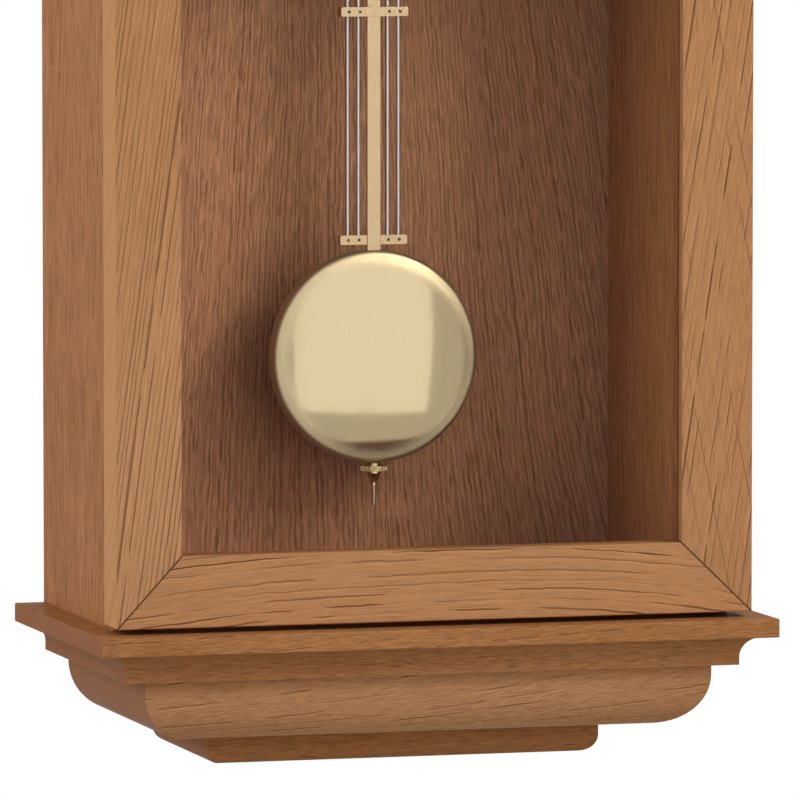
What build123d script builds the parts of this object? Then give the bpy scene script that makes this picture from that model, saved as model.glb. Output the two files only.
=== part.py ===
from build123d import *
import math
import os

# Spring-driven oak wall clock with a glazed door and a lyre pendulum.
# The origin is the keyhole of the hanger on the wall plane: +Z up, +Y into the wall, dial facing -Y.

# Case and door, millimetres
DOOR_W = 320.0
DOOR_H = 620.0
DOOR_T = 24.0
FRAME_W = 34.0
FRAME_BEVEL = 6.8
REBATE_W = 7.0
REBATE_D = 12.0
GLASS_T = 3.0
GLASS_CLEAR = 0.5
BEAD_T = 7.0
MITRE_GAP = 0.2
DOOR_CLEAR = 2.8
DOOR_GAP = 1.0
DOOR_LAP = 4.6
CASE_DEPTH = 140.0
SIDE_T = 19.5
BACK_T = 6.0
RABBET = 8.0
PANEL_CLEAR = 0.3
EASE = 0.6
HANGER_DROP = 40.0

# Base and crown mouldings: insets are measured from the edge of the slab
SLAB_T = 9.2
SLAB_SIDE = 10.2
SLAB_FRONT = 12.0
COVE_INSET = 5.0
COVE_R = 10.5
COVE_FILLET = 4.0
OVOLO_SIDE = 27.2
OVOLO_FRONT = 23.7
OVOLO_FLAT = 5.0
OVOLO_R = 26.2
FOOT_SIDE = 70.0
FOOT_FRONT = 72.0
FOOT_H = 16.5
FOOT_R = 9.0
CAP_INSET = 26.0
CAP_H = 12.0

# Hardware
HANGER_T = 1.5
HANGER_HALF_W = 22.0
HANGER_LOW = 14.0
HANGER_HIGH = 22.0
KEYHOLE_R = 5.0
KEYHOLE_SLOT = 2.5
KEYHOLE_RISE = 11.0
SCREW_R = 1.5
SCREW_HEAD_R = 3.0
SCREW_HEAD_H = 1.6
SCREW_SLOT_W = 0.7
SCREW_SLOT_D = 0.8
FIT = 0.1
HINGE_H = 44.0
HINGE_INSET = 90.0
HINGE_LEAF_T = 0.9
HINGE_LEAF_W = 18.0
HINGE_SCREW_STEP = 14.0
HINGE_SCREW_L = 10.0
KNUCKLE_R = 2.4
HINGE_PIN_R = 1.3
RUNNING = 0.05
KNOB_HEIGHT = 320.0
KNOB_R = 8.0
KNOB_LENGTH = 20.0
MAGNET_R = 4.0
MAGNET_DEPTH = 8.0
STRIKE_R = 6.0
STRIKE_T = 0.8

# Dial, hands and the place of the movement
DIAL_DROP = 163.0
DIAL_R = 97.0
DIAL_T = 1.2
DIAL_HOLE_R = 5.2
KEY_HOLE_R = 6.0
FOOT_SPAN = 45.0
BEZEL_W = 4.5
BEZEL_H = 3.6
MINUTE_HAND = 84.0
MINUTE_HAND_W = 6.5
MINUTE_TAIL = 16.0
HOUR_HAND = 54.0
HOUR_HAND_W = 9.0
HOUR_TAIL = 12.0
HAND_BOSS = 2.5
HAND_T = 0.8
TIME_SHOWN = 10 + 10 / 60
PENDULUM_OUT = 52.0
CRUTCH_SPACE = 16.0
PLATE_T = 2.5
PLATE_GAP = 40.0
PLATE_MARGIN = 11.0
DIAL_SPACE = 9.0
PILLAR_R = 4.0
SEAT_T = 12.0
CLEAT = 14.0

# Wheel train: teeth, leaves and modules
GREAT_TEETH, GREAT_LEAVES, GREAT_MODULE = 80, 10, 0.9
INTER_TEETH, INTER_LEAVES, INTER_MODULE = 72, 8, 0.7
CENTRE_TEETH, CENTRE_LEAVES, CENTRE_MODULE = 72, 8, 0.6
THIRD_TEETH, THIRD_LEAVES, THIRD_MODULE = 80, 8, 0.5
MINUTE_TEETH, CANNON_LEAVES, CANNON_MODULE = 36, 12, 0.6
HOUR_TEETH, HOUR_LEAVES = 48, 12
ESCAPE_TEETH = 32
ESCAPE_R = 18.0
ESCAPE_TOOTH_H = 4.0
ESCAPE_RISE = 28.0
ANCHOR_SPAN = 7.5
PALLET_SHARE = 0.28
PALLET_CLEAR = 0.15
WHEEL_T = 2.0
PIVOT_R = 0.8
DRUM_R = 30.0
DRUM_WALL = 2.0
DRUM_H = 20.0
SPRING_T = 0.5
SPRING_TURNS = 11
RATCHET_TEETH = 24
RATCHET_R = 14.0
RATCHET_DEPTH = 1.8
SQUARE = 4.8

# Pendulum
FLOOR_CLEAR = 49.0
STRIP_W = 6.7
STRIP_T = 1.5
STRIP_FOOT = 20.0
ROD_R = 1.15
ROD_INNER = 7.5
ROD_OUTER = 13.05
BAR_W = 34.4
BAR_H = 4.7
BAR_D = 4.0
BAR_SHY = 0.35
BAR_PROUD = 1.5
BAR_ROUND = 0.8
PIN_HOLE_R = 0.75
PIN_HOLE_DEEP = 0.6
ROD_START = 0.5
ROD_END = 1.5
LYRE_DROP = 106.0
BAR_ABOVE_BOB = 4.8
BOB_R = 52.9
BOB_FACE_R = 50.1
BOB_FACE_RISE = 4.9
BOB_SKIRT = 3.0
SHELL_T = 0.8
WEIGHT_CLEAR = 1.2
WEIGHT_BEVEL = 8.0
WEIGHT_BACK = 9.0
THREAD_R = 1.1
THREAD_END = 21.0
NUT_R = 6.7
NUT_RIM_H = 2.5
NUT_COLLAR_R = 3.4
NUT_COLLAR_H = 1.2
NUT_CONE_H = 6.1
NUT_TIP_R = 1.5
KNURLS = 30
KNURL_R = 0.4
SPRING_LENGTH = 14.0
SPRING_GRIP = 6.0
SPRING_HALF_W = 3.0
LEAF_T = 0.2
HOOK_H = 10.0
HOOK_HALF = 4.0
CRUTCH_LENGTH = 50.0
CRUTCH_HALF_H = 1.5
PRONG_W = 2.0
PRONG_CLEAR = 0.3

HALF_W = DOOR_W / 2
CASE_HALF = HALF_W - DOOR_LAP
INNER_X = CASE_HALF - SIDE_T
CASE_FRONT = -CASE_DEPTH
DOOR_BACK = CASE_FRONT - DOOR_GAP
DOOR_FRONT = DOOR_BACK - DOOR_T
DOOR_TOP = HANGER_DROP
DOOR_BOTTOM = DOOR_TOP - DOOR_H
BASE_TOP = DOOR_BOTTOM - DOOR_CLEAR
CROWN_BOTTOM = DOOR_TOP + DOOR_CLEAR
SLAB_HALF = HALF_W + SLAB_SIDE
SLAB_DEPTH = SLAB_FRONT - DOOR_FRONT

HAND_Z = DOOR_TOP - DIAL_DROP
BACK_REAR = -PENDULUM_OUT - CRUTCH_SPACE
BACK_INNER = BACK_REAR - PLATE_T
FRONT_INNER = BACK_INNER - PLATE_GAP
FRONT_FACE = FRONT_INNER - PLATE_T
DIAL_BACK = FRONT_FACE - DIAL_SPACE
DIAL_FRONT = DIAL_BACK - DIAL_T
FROM_END = (Align.CENTER, Align.CENTER, Align.MIN)


def block(x, y, z):
    """Box between two corners, each side given as a (low, high) pair."""
    sides = (x, y, z)
    middle = [(low + high) / 2 for low, high in sides]
    return Pos(*middle) * Box(*[high - low for low, high in sides])


def rod(radius, start, end):
    """Round bar from one point to another."""
    line = Vector(*end) - Vector(*start)
    return Plane(start, z_dir=line) * Cylinder(radius, line.length, align=FROM_END)


def screw(start, direction, length, grow=0.0):
    """Slotted countersunk screw with its flat head at the start point; grow makes the hole for it."""
    head = Cone(SCREW_HEAD_R + grow, SCREW_R + grow, SCREW_HEAD_H, align=FROM_END)
    shank = Cylinder(SCREW_R + grow, length + grow, align=FROM_END)
    whole = head + shank
    if grow == 0:
        whole -= Box(2 * SCREW_HEAD_R, SCREW_SLOT_W, 2 * SCREW_SLOT_D)
    return Plane(start, z_dir=direction) * whole


def front_view(x, y, z):
    """Plane drawn as seen from the room: local x is right, y is up and z comes forward."""
    return Plane((x, y, z), x_dir=(1, 0, 0), z_dir=(0, -1, 0))


def outline(*edges):
    """Face inside a closed chain of lines and arcs, its front towards +Z."""
    face = Face(Wire([piece.edge() for piece in edges]))
    return face if face.normal_at().Z > 0 else -face


def polar(radius, angle):
    return (radius * math.cos(angle), radius * math.sin(angle))


def dome_radius(half_width, rise):
    """Radius of the arc that rises so far over half its chord."""
    return (half_width**2 + rise**2) / (2 * rise)


def turned(face, x, y, z):
    """Solid turned on a lathe, its axis running forward from the point; the face is (radius, forward)."""
    solid = revolve(face, Axis.Y, 360)
    return Plane((x, y, z), x_dir=(1, 0, 0), z_dir=(0, 0, 1)) * Rot(180, 0, 0) * solid


# Case mouldings. Each profile is a face of (inset, height below the top) that reaches to the back.
def slab_profile(reach):
    face = Pos(reach / 2, -SLAB_T / 2) * Rectangle(reach, SLAB_T)
    return fillet(face.vertices().group_by(Axis.X)[0], EASE)


def cove_profile(reach):
    inner = COVE_INSET + COVE_R
    foot = -COVE_R - COVE_FILLET
    return outline(
        Line((reach, 0), (COVE_INSET, 0)),
        ThreePointArc(
            (COVE_INSET, 0),
            (COVE_INSET + COVE_R * math.sin(math.pi / 4), -COVE_R * (1 - math.cos(math.pi / 4))),
            (inner, -COVE_R),
        ),
        Line((inner, -COVE_R), (inner, foot)),
        Line((inner, foot), (reach, foot)),
        Line((reach, foot), (reach, 0)),
    )


def round_profile(reach, flat, radius):
    """Straight face that turns under in a quarter round."""
    low = -flat - radius
    bend = radius * (1 - math.cos(math.pi / 4))
    return outline(
        Line((reach, 0), (0, 0)),
        Line((0, 0), (0, -flat)),
        ThreePointArc((0, -flat), (bend, low + bend), (radius, low)),
        Line((radius, low), (reach, low)),
        Line((reach, low), (reach, 0)),
    )


def moulding(profile, side_inset, front_inset):
    """Board with one profile worked along its front and both ends, flat on the wall with its top at zero."""
    half = SLAB_HALF - side_inset
    depth = SLAB_DEPTH - front_inset
    left = front_view(-half, 0, 0) * extrude(profile(2 * half), depth)
    along = Plane((-half, -depth, 0), x_dir=(0, 1, 0), z_dir=(1, 0, 0))
    front = along * extrude(profile(depth), 2 * half)
    return left & mirror(left, Plane.YZ) & front


def base_and_crown():
    cove_low = SLAB_T + COVE_R + COVE_FILLET
    ovolo_low = cove_low + OVOLO_FLAT + OVOLO_R
    slab = moulding(slab_profile, 0, 0)
    cove = moulding(cove_profile, 0, 0)
    ovolo = moulding(lambda reach: round_profile(reach, OVOLO_FLAT, OVOLO_R), OVOLO_SIDE, OVOLO_FRONT)
    foot = moulding(lambda reach: round_profile(reach, FOOT_H - FOOT_R, FOOT_R), FOOT_SIDE, FOOT_FRONT)
    cap = moulding(lambda reach: round_profile(reach, CAP_H - FOOT_R, FOOT_R), CAP_INSET, CAP_INSET)
    return {
        "crown_slab": Pos(0, 0, CROWN_BOTTOM + SLAB_T) * slab,
        "crown_cove": Pos(0, 0, CROWN_BOTTOM + SLAB_T) * mirror(cove, Plane.XY),
        "crown_cap": Pos(0, 0, CROWN_BOTTOM + cove_low) * mirror(cap, Plane.XY),
        "base_slab": Pos(0, 0, BASE_TOP) * slab,
        "base_cove": Pos(0, 0, BASE_TOP - SLAB_T) * cove,
        "base_ovolo": Pos(0, 0, BASE_TOP - cove_low) * ovolo,
        "base_foot": Pos(0, 0, BASE_TOP - ovolo_low) * foot,
    }


# Screws that hold the back panel into the rabbets, and the hanger plate onto the back panel
BACK_SCREW_X = INNER_X + RABBET / 2
BACK_SCREW_L = 20.0
BACK_SCREW_SHARES = (0.06, 0.35, 0.65, 0.94)
HANGER_SCREW_X = 15.0
HANGER_SCREW_Z = 4.0
HANGER_SCREW_L = 4.0
BACK_SCREWS = [
    ((side * BACK_SCREW_X, 0, BASE_TOP + (CROWN_BOTTOM - BASE_TOP) * share), BACK_SCREW_L)
    for side in (-1, 1)
    for share in BACK_SCREW_SHARES
] + [((side * HANGER_SCREW_X, 0, HANGER_SCREW_Z), HANGER_SCREW_L) for side in (-1, 1)]


def case_screws(grow=0.0):
    return [screw(start, (0, -1, 0), length, grow) for start, length in BACK_SCREWS]


# Hinges: knuckle axis just outside the right side, level with the gap behind the door
HINGE_X = HALF_W + KNUCKLE_R + FIT
HINGE_Y = CASE_FRONT - DOOR_GAP / 2
HINGE_Z = [DOOR_BOTTOM + HINGE_INSET, DOOR_TOP - HINGE_INSET]
LEAF_GAP = FIT
PIN_HEAD_GAP = 0.5
PIN_HEAD_H = 1.0


def hinge_leaf(z, forward, knuckles):
    """One leaf with its knuckles, on the door side (forward -1) or the case side (forward 1)."""
    faces = sorted((HINGE_Y + forward * LEAF_GAP / 2, HINGE_Y + forward * (LEAF_GAP / 2 + HINGE_LEAF_T)))
    height = (z - HINGE_H / 2, z + HINGE_H / 2)
    leaf = block((HALF_W - HINGE_LEAF_W, HALF_W - FIT), faces, height)
    for low, high in knuckles:
        leaf += block((HALF_W - 1, HINGE_X), faces, (low, high))
        leaf += rod(KNUCKLE_R, (HINGE_X, HINGE_Y, low), (HINGE_X, HINGE_Y, high))
    leaf -= rod(HINGE_PIN_R + RUNNING, (HINGE_X, HINGE_Y, z - HINGE_H), (HINGE_X, HINGE_Y, z + HINGE_H))
    for hole in hinge_screws(forward, FIT):
        leaf -= hole
    return leaf


def hinge_screws(forward, grow=0.0):
    """Three flush screws through each leaf on the door side (forward -1) or the case side (forward 1)."""
    x = HALF_W - HINGE_LEAF_W / 2
    y = HINGE_Y + forward * LEAF_GAP / 2
    steps = (-HINGE_SCREW_STEP, 0, HINGE_SCREW_STEP)
    seats = [(x, y, z + step) for z in HINGE_Z for step in steps]
    return [screw(seat, (0, forward, 0), HINGE_SCREW_L, grow) for seat in seats]


def hinges():
    case, door, pins = hinge_screws(1), hinge_screws(-1), []
    for z in HINGE_Z:
        third = HINGE_H / 3
        low, high = z - HINGE_H / 2, z + HINGE_H / 2
        case.append(hinge_leaf(z, 1, [(low, low + third - FIT), (high - third + FIT, high)]))
        door.append(hinge_leaf(z, -1, [(low + third + FIT, high - third - FIT)]))
        under, over = low - PIN_HEAD_GAP, high + PIN_HEAD_GAP
        pin = rod(HINGE_PIN_R, (HINGE_X, HINGE_Y, under), (HINGE_X, HINGE_Y, over))
        for end in (under - PIN_HEAD_H, over):
            pin += rod(KNUCKLE_R, (HINGE_X, HINGE_Y, end), (HINGE_X, HINGE_Y, end + PIN_HEAD_H))
        pins.append(pin)
    return case, door, pins


def hinge_mortises(forward):
    """Recesses for the leaves in the edge of the right side or the back of the door."""
    deep = HINGE_Y + forward * (LEAF_GAP / 2 + HINGE_LEAF_T + FIT / 2)
    faces = sorted((HINGE_Y, deep))
    wide = (HALF_W - HINGE_LEAF_W - FIT, HALF_W + 1)
    cuts = [block(wide, faces, (z - HINGE_H / 2 - FIT, z + HINGE_H / 2 + FIT)) for z in HINGE_Z]
    return cuts + hinge_screws(forward, FIT)


# Door catch: a magnet in the left side and a strike plate let into the back of the left stile
CATCH_X = SIDE_T / 2 - CASE_HALF
CATCH_Z = DOOR_BOTTOM + KNOB_HEIGHT


def case_boards():
    tall = (BASE_TOP, CROWN_BOTTOM)
    right = block((INNER_X, CASE_HALF), (CASE_FRONT, 0), tall)
    right = fillet(right.edges().filter_by(Axis.Z).group_by(Axis.X)[-1].group_by(Axis.Y)[0], EASE)
    right -= block((INNER_X, INNER_X + RABBET), (-BACK_T, 0), tall)
    left = mirror(right, Plane.YZ)
    panel_x = INNER_X + RABBET - PANEL_CLEAR
    panel = block((-panel_x, panel_x), (-BACK_T, 0), tall)
    panel -= block(
        (-HANGER_HALF_W - FIT, HANGER_HALF_W + FIT), (-HANGER_T, 0), (-HANGER_LOW - FIT, HANGER_HIGH + FIT)
    )
    pocket = KEYHOLE_R + 2
    panel -= block((-pocket, pocket), (1 - BACK_T, 0), (-pocket, KEYHOLE_RISE + pocket))
    plate = block((-HANGER_HALF_W, HANGER_HALF_W), (-HANGER_T, 0), (-HANGER_LOW, HANGER_HIGH))
    plate = fillet(plate.edges().filter_by(Axis.Y), 3)
    plate -= rod(KEYHOLE_R, (0, -HANGER_T, 0), (0, 0, 0))
    plate -= rod(KEYHOLE_SLOT, (0, -HANGER_T, KEYHOLE_RISE), (0, 0, KEYHOLE_RISE))
    plate -= block((-KEYHOLE_SLOT, KEYHOLE_SLOT), (-HANGER_T, 0), (0, KEYHOLE_RISE))
    for hole in case_screws(FIT):
        right -= hole
        left -= hole
        panel -= hole
        plate -= hole
    for cut in hinge_mortises(1):
        right -= cut
    bottom = (CATCH_X, CASE_FRONT + MAGNET_DEPTH, CATCH_Z)
    left -= rod(MAGNET_R + FIT, (CATCH_X, CASE_FRONT - 1, CATCH_Z), bottom)
    magnet = rod(MAGNET_R, (CATCH_X, DOOR_BACK + FIT, CATCH_Z), bottom)
    return {
        "side_panel_left": left,
        "side_panel_right": right,
        "back_panel": panel,
        "hanger_plate": plate,
        "back_screws": case_screws(),
        "door_magnet": magnet,
    }


# Door frame: section drawn as (inward from the edge, forward from the back face)
KNOB_X = FRAME_W / 2 - HALF_W
KNOB_SEAT = DOOR_FRONT + FRAME_BEVEL
KNOB_BASE = KNOB_R * 0.75
KNOB_SPIGOT = 2.5
KNOB_SPIGOT_L = 10.0


def door_section():
    inner = FRAME_W - REBATE_W
    points = [(0, 0), (0, DOOR_T), (FRAME_W, DOOR_T - FRAME_BEVEL)]
    points += [(FRAME_W, REBATE_D), (inner, REBATE_D), (inner, 0)]
    face = make_face(Polyline(*points, close=True))
    return fillet(face.vertices().group_by(Axis.Y)[-1], EASE)


def mitred(points):
    """Prism through the door's thickness that trims a frame member to its mitres."""
    return extrude(front_view(0, DOOR_BACK + 1, 0) * make_face(Polyline(*points, close=True)), DOOR_T + 2)


def door_frame():
    section = door_section()
    gap = MITRE_GAP / math.sqrt(2)
    wide = FRAME_W + 1
    stile_plane = Plane((-HALF_W, DOOR_BACK, DOOR_TOP), x_dir=(1, 0, 0), z_dir=(0, 0, -1))
    left = stile_plane * extrude(section, DOOR_H)
    left &= mitred(
        [
            (-HALF_W, DOOR_BOTTOM + gap),
            (-HALF_W, DOOR_TOP - gap),
            (wide - HALF_W, DOOR_TOP - wide - gap),
            (wide - HALF_W, DOOR_BOTTOM + wide + gap),
        ]
    )
    rail_plane = Plane((-HALF_W, DOOR_BACK, DOOR_BOTTOM), x_dir=(0, 0, 1), z_dir=(1, 0, 0))
    bottom = rail_plane * extrude(section, DOOR_W)
    bottom &= mitred(
        [
            (gap - HALF_W, DOOR_BOTTOM),
            (HALF_W - gap, DOOR_BOTTOM),
            (HALF_W - wide - gap, DOOR_BOTTOM + wide),
            (wide + gap - HALF_W, DOOR_BOTTOM + wide),
        ]
    )
    right = mirror(left, Plane.YZ)
    for cut in hinge_mortises(-1):
        right -= cut
    middle = Plane((0, 0, (DOOR_TOP + DOOR_BOTTOM) / 2), z_dir=(0, 0, 1))
    left -= rod(KNOB_BASE + FIT, (KNOB_X, DOOR_FRONT - 1, CATCH_Z), (KNOB_X, KNOB_SEAT, CATCH_Z))
    spigot_end = KNOB_SEAT + KNOB_SPIGOT_L + FIT
    left -= rod(KNOB_SPIGOT + FIT, (KNOB_X, KNOB_SEAT - 1, CATCH_Z), (KNOB_X, spigot_end, CATCH_Z))
    strike_front = (CATCH_X, DOOR_BACK - STRIKE_T, CATCH_Z)
    left -= rod(STRIKE_R + FIT, strike_front, (CATCH_X, DOOR_BACK + 1, CATCH_Z))
    return {
        "door_stile_left": left,
        "door_stile_right": right,
        "door_rail_bottom": bottom,
        "door_rail_top": mirror(bottom, middle),
        "door_strike_plate": rod(STRIKE_R, strike_front, (CATCH_X, DOOR_BACK, CATCH_Z)),
    }


def glazing():
    edge = FRAME_W - REBATE_W + GLASS_CLEAR
    x = HALF_W - edge
    low, high = DOOR_BOTTOM + edge, DOOR_TOP - edge
    front = DOOR_BACK - REBATE_D
    glass = block((-x, x), (front, front + GLASS_T), (low, high))
    y = (front + GLASS_T, front + GLASS_T + BEAD_T)
    bead = REBATE_W - GLASS_CLEAR
    beads = [block((-x, bead - x), y, (low, high)), block((x - bead, x), y, (low, high))]
    beads += [block((bead - x, x - bead), y, (z, z + bead)) for z in (low, high - bead)]
    return {"door_glass": glass, "glass_beads": beads}


def door_knob():
    neck = KNOB_R * 0.4
    rise = KNOB_R * 0.6
    head = KNOB_LENGTH - rise
    profile = outline(
        Line((0, -KNOB_SPIGOT_L), (KNOB_SPIGOT, -KNOB_SPIGOT_L)),
        Line((KNOB_SPIGOT, -KNOB_SPIGOT_L), (KNOB_SPIGOT, 0)),
        Line((KNOB_SPIGOT, 0), (KNOB_BASE, 0)),
        Line((KNOB_BASE, 0), (KNOB_BASE, FRAME_BEVEL)),
        RadiusArc((KNOB_BASE, FRAME_BEVEL), (neck, FRAME_BEVEL + 4), 5),
        RadiusArc((neck, FRAME_BEVEL + 4), (KNOB_R, head), -12),
        RadiusArc((KNOB_R, head), (0, KNOB_LENGTH), -dome_radius(KNOB_R, rise)),
        Line((0, KNOB_LENGTH), (0, -KNOB_SPIGOT_L)),
    )
    return turned(profile, KNOB_X, KNOB_SEAT, CATCH_Z)


# Wheels and pinions, drawn as seen from the front with tooth 0 pointing right
def addendum_factor(teeth, leaves):
    """Height of a clock wheel's tooth above its pitch circle, in modules."""
    ratio = teeth / leaves
    last, angle = 1.0, 0.0
    while abs(angle - last) > 1e-9:
        last = angle
        angle = math.pi / leaves + 2 * ratio * math.atan2(math.sin(last), 1 + 2 * ratio - math.cos(last))
    k = 1 + 2 * ratio
    return 0.25 * leaves * (1 - k + math.sqrt(1 + k * k - 2 * k * math.cos(angle)))


def wheel_tip(teeth, leaves, module):
    return module * (teeth / 2 + 0.95 * addendum_factor(teeth, leaves))


def wheel_face(teeth, leaves, module):
    pitch = teeth * module / 2
    root = pitch - math.pi / 2 * module
    tip = wheel_tip(teeth, leaves, module)
    bulge = -1.4 * addendum_factor(teeth, leaves) * module
    step = 2 * math.pi / teeth
    half = step / 4
    land = 0.06 * module / tip
    edges = []
    for tooth in range(teeth):
        mid = tooth * step
        places = [(root, -half), (pitch, -half), (tip, -land), (tip, land), (pitch, half), (root, half)]
        p = [polar(radius, mid + angle) for radius, angle in places] + [polar(root, mid + step - half)]
        edges += [Line(p[0], p[1]), RadiusArc(p[1], p[2], bulge), Line(p[2], p[3])]
        edges += [RadiusArc(p[3], p[4], bulge), Line(p[4], p[5]), Line(p[5], p[6])]
    return outline(*edges)


def pinion_face(leaves, teeth, module):
    pitch = leaves * module / 2
    width = 1.05 * module if leaves <= 10 else 1.25 * module
    root = pitch - module * (0.95 * addendum_factor(teeth, leaves) + 0.4)
    half = math.asin(width / 2 / pitch)
    step = 2 * math.pi / leaves
    edges = []
    for leaf in range(leaves):
        mid = leaf * step
        p = [polar(root, mid - half), polar(pitch, mid - half), polar(pitch + width / 2, mid)]
        p += [polar(pitch, mid + half), polar(root, mid + half), polar(root, mid + step - half)]
        edges += [Line(p[0], p[1]), ThreePointArc(p[1], p[2], p[3]), Line(p[3], p[4]), Line(p[4], p[5])]
    return outline(*edges)


def crossed_out(face, rim, hub, spokes, width):
    """Wheel face with the spaces between its spokes sawn out."""
    spaces = Circle(rim) - Circle(hub)
    for spoke in range(spokes):
        spaces -= Rot(0, 0, 360 * spoke / spokes) * Pos(rim / 2, 0) * Rectangle(rim * 1.2, width)
    return face - spaces


def meshed(turn, line, teeth, other):
    """Angle that sets the other wheel's space on a tooth of the first, along the line of centres."""
    return line + math.pi - (turn - line) * teeth / other + math.pi / other


def layer(depth):
    """Place forward of the back plate's inner face."""
    return BACK_INNER - depth


def laid(face, place, turn, back, thick):
    """Wheel or pinion blank set on its arbor at one layer of the movement."""
    x, z = place
    return front_view(x, layer(back), HAND_Z + z) * Rot(0, 0, math.degrees(turn)) * extrude(face, thick)


def shaft(radius, place, back, front):
    x, z = place
    return rod(radius, (x, layer(back), HAND_Z + z), (x, layer(front), HAND_Z + z))


def centre_distance(teeth, leaves, module):
    return (teeth + leaves) * module / 2


def direction(start, end):
    return math.atan2(end[1] - start[1], end[0] - start[0])


# Arbor places (right, up) from the hand arbor, found from the wheels that mesh
CENTRE = (0.0, 0.0)
ESCAPE = (0.0, ESCAPE_RISE)
REACH_THIRD = centre_distance(CENTRE_TEETH, CENTRE_LEAVES, CENTRE_MODULE)
REACH_ESCAPE = centre_distance(THIRD_TEETH, THIRD_LEAVES, THIRD_MODULE)
THIRD_UP = (REACH_THIRD**2 - REACH_ESCAPE**2 + ESCAPE_RISE**2) / (2 * ESCAPE_RISE)
THIRD = (math.sqrt(REACH_THIRD**2 - THIRD_UP**2), THIRD_UP)
REACH_INTER = centre_distance(INTER_TEETH, INTER_LEAVES, INTER_MODULE)
INTER = polar(REACH_INTER, math.radians(225))
REACH_BARREL = centre_distance(GREAT_TEETH, GREAT_LEAVES, GREAT_MODULE)
BARREL = (0.0, INTER[1] - math.sqrt(REACH_BARREL**2 - INTER[0] ** 2))
REACH_MINUTE = centre_distance(MINUTE_TEETH, CANNON_LEAVES, CANNON_MODULE)
MINUTE = polar(REACH_MINUTE, math.radians(135))
HOUR_MODULE = 2 * REACH_MINUTE / (HOUR_TEETH + HOUR_LEAVES)
ESCAPE_PITCH = 2 * math.pi / ESCAPE_TEETH
HALF_SPAN = ANCHOR_SPAN * ESCAPE_PITCH / 2
ANCHOR = (0.0, ESCAPE_RISE + ESCAPE_R / math.cos(HALF_SPAN))

# Rest angles that put every pair in mesh
THIRD_TURN = meshed(0, direction(CENTRE, THIRD), CENTRE_TEETH, CENTRE_LEAVES)
ESCAPE_TURN = meshed(THIRD_TURN, direction(THIRD, ESCAPE), THIRD_TEETH, THIRD_LEAVES)
INTER_TURN = meshed(0, direction(CENTRE, INTER), INTER_LEAVES, INTER_TEETH)
BARREL_TURN = meshed(INTER_TURN, direction(INTER, BARREL), GREAT_LEAVES, GREAT_TEETH)
MINUTE_TURN = meshed(0, direction(CENTRE, MINUTE), CANNON_LEAVES, MINUTE_TEETH)
HOUR_TURN = meshed(MINUTE_TURN, direction(MINUTE, CENTRE), HOUR_LEAVES, HOUR_TEETH)

# Layers (back, thickness) forward of the back plate's inner face
GREAT_LAYER = (4.0, 3.0)
DRUM_BACK = GREAT_LAYER[0] + GREAT_LAYER[1]
INTER_PINION_LAYER = (GREAT_LAYER[0] - 1.5, GREAT_LAYER[1] + 3.0)
INTER_LAYER = (31.0, WHEEL_T)
CENTRE_PINION_LAYER = (INTER_LAYER[0] - 2, WHEEL_T + 4)
CENTRE_LAYER = (22.0, WHEEL_T)
THIRD_PINION_LAYER = (CENTRE_LAYER[0] - 3, WHEEL_T + 6)
THIRD_LAYER = (10.0, WHEEL_T)
ESCAPE_PINION_LAYER = (THIRD_LAYER[0] - 2.5, WHEEL_T + 5)
ESCAPE_LAYER = (31.0, 1.5)
ANCHOR_LAYER = (30.0, 3.5)
END_SHAKE = 0.3
OUTER = PLATE_GAP + PLATE_T
CANNON_LAYER = (OUTER + 0.8, 3.5)
MINUTE_LAYER = (OUTER + 1.3, 1.5)
HOUR_LAYER = (OUTER + 4.8, 1.5)
HOUR_PIPE_END = OUTER + DIAL_SPACE + DIAL_T + 2.8
HOUR_HAND_BACK = HOUR_PIPE_END - HAND_T
CANNON_END = HOUR_PIPE_END + 3.0
MINUTE_HAND_BACK = CANNON_END - HAND_T
CENTRE_R = 1.5
CANNON_R = 2.5
HOUR_PIPE_R = 3.9
RATCHET_LAYER = (OUTER + 0.8, 2.5)
BARREL_ARBOR_R = 4.0
BARREL_CORE_R = 6.5
CAP_T = 1.5
STUD_R = 1.45
ANCHOR_R = 1.5

GREAT_TIP = wheel_tip(GREAT_TEETH, GREAT_LEAVES, GREAT_MODULE)
PLATE_HALF = GREAT_TIP + PLATE_MARGIN
PLATE_LOW = BARREL[1] - GREAT_TIP
PILLAR_INSET = 6.0
COCK_LOW = 5.5
COCK_H = 8.0
COCK_MARGIN = 4.5
PLATE_HIGH = ANCHOR[1] + COCK_LOW + COCK_H + COCK_MARGIN
PILLAR_X = PLATE_HALF - PILLAR_INSET
PILLAR_Z = (PLATE_LOW + PILLAR_INSET, PLATE_HIGH - PILLAR_INSET)
PILLARS = [(side * PILLAR_X, z) for side in (-1, 1) for z in PILLAR_Z]
DIAL_FEET = [(side * PILLAR_X, up * FOOT_SPAN) for side in (-1, 1) for up in (-1, 1)]
COCK_SCREW_X = 9.5
COCK_T = 2.5
COCK_ARM = 4.5
CHEESE_R = 3.0
CHEESE_H = 1.8
PILLAR_SCREW_L = 9.0
SEAT_TOP = HAND_Z + PLATE_LOW
BOLT_R = 2.0


def bored_arbor(place, shaft_r, pivot_r):
    """Arbor between the plates with a pivot running in each of them."""
    body = shaft(shaft_r, place, END_SHAKE, PLATE_GAP - END_SHAKE)
    return body + shaft(pivot_r, place, -PLATE_T, OUTER)


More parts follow.
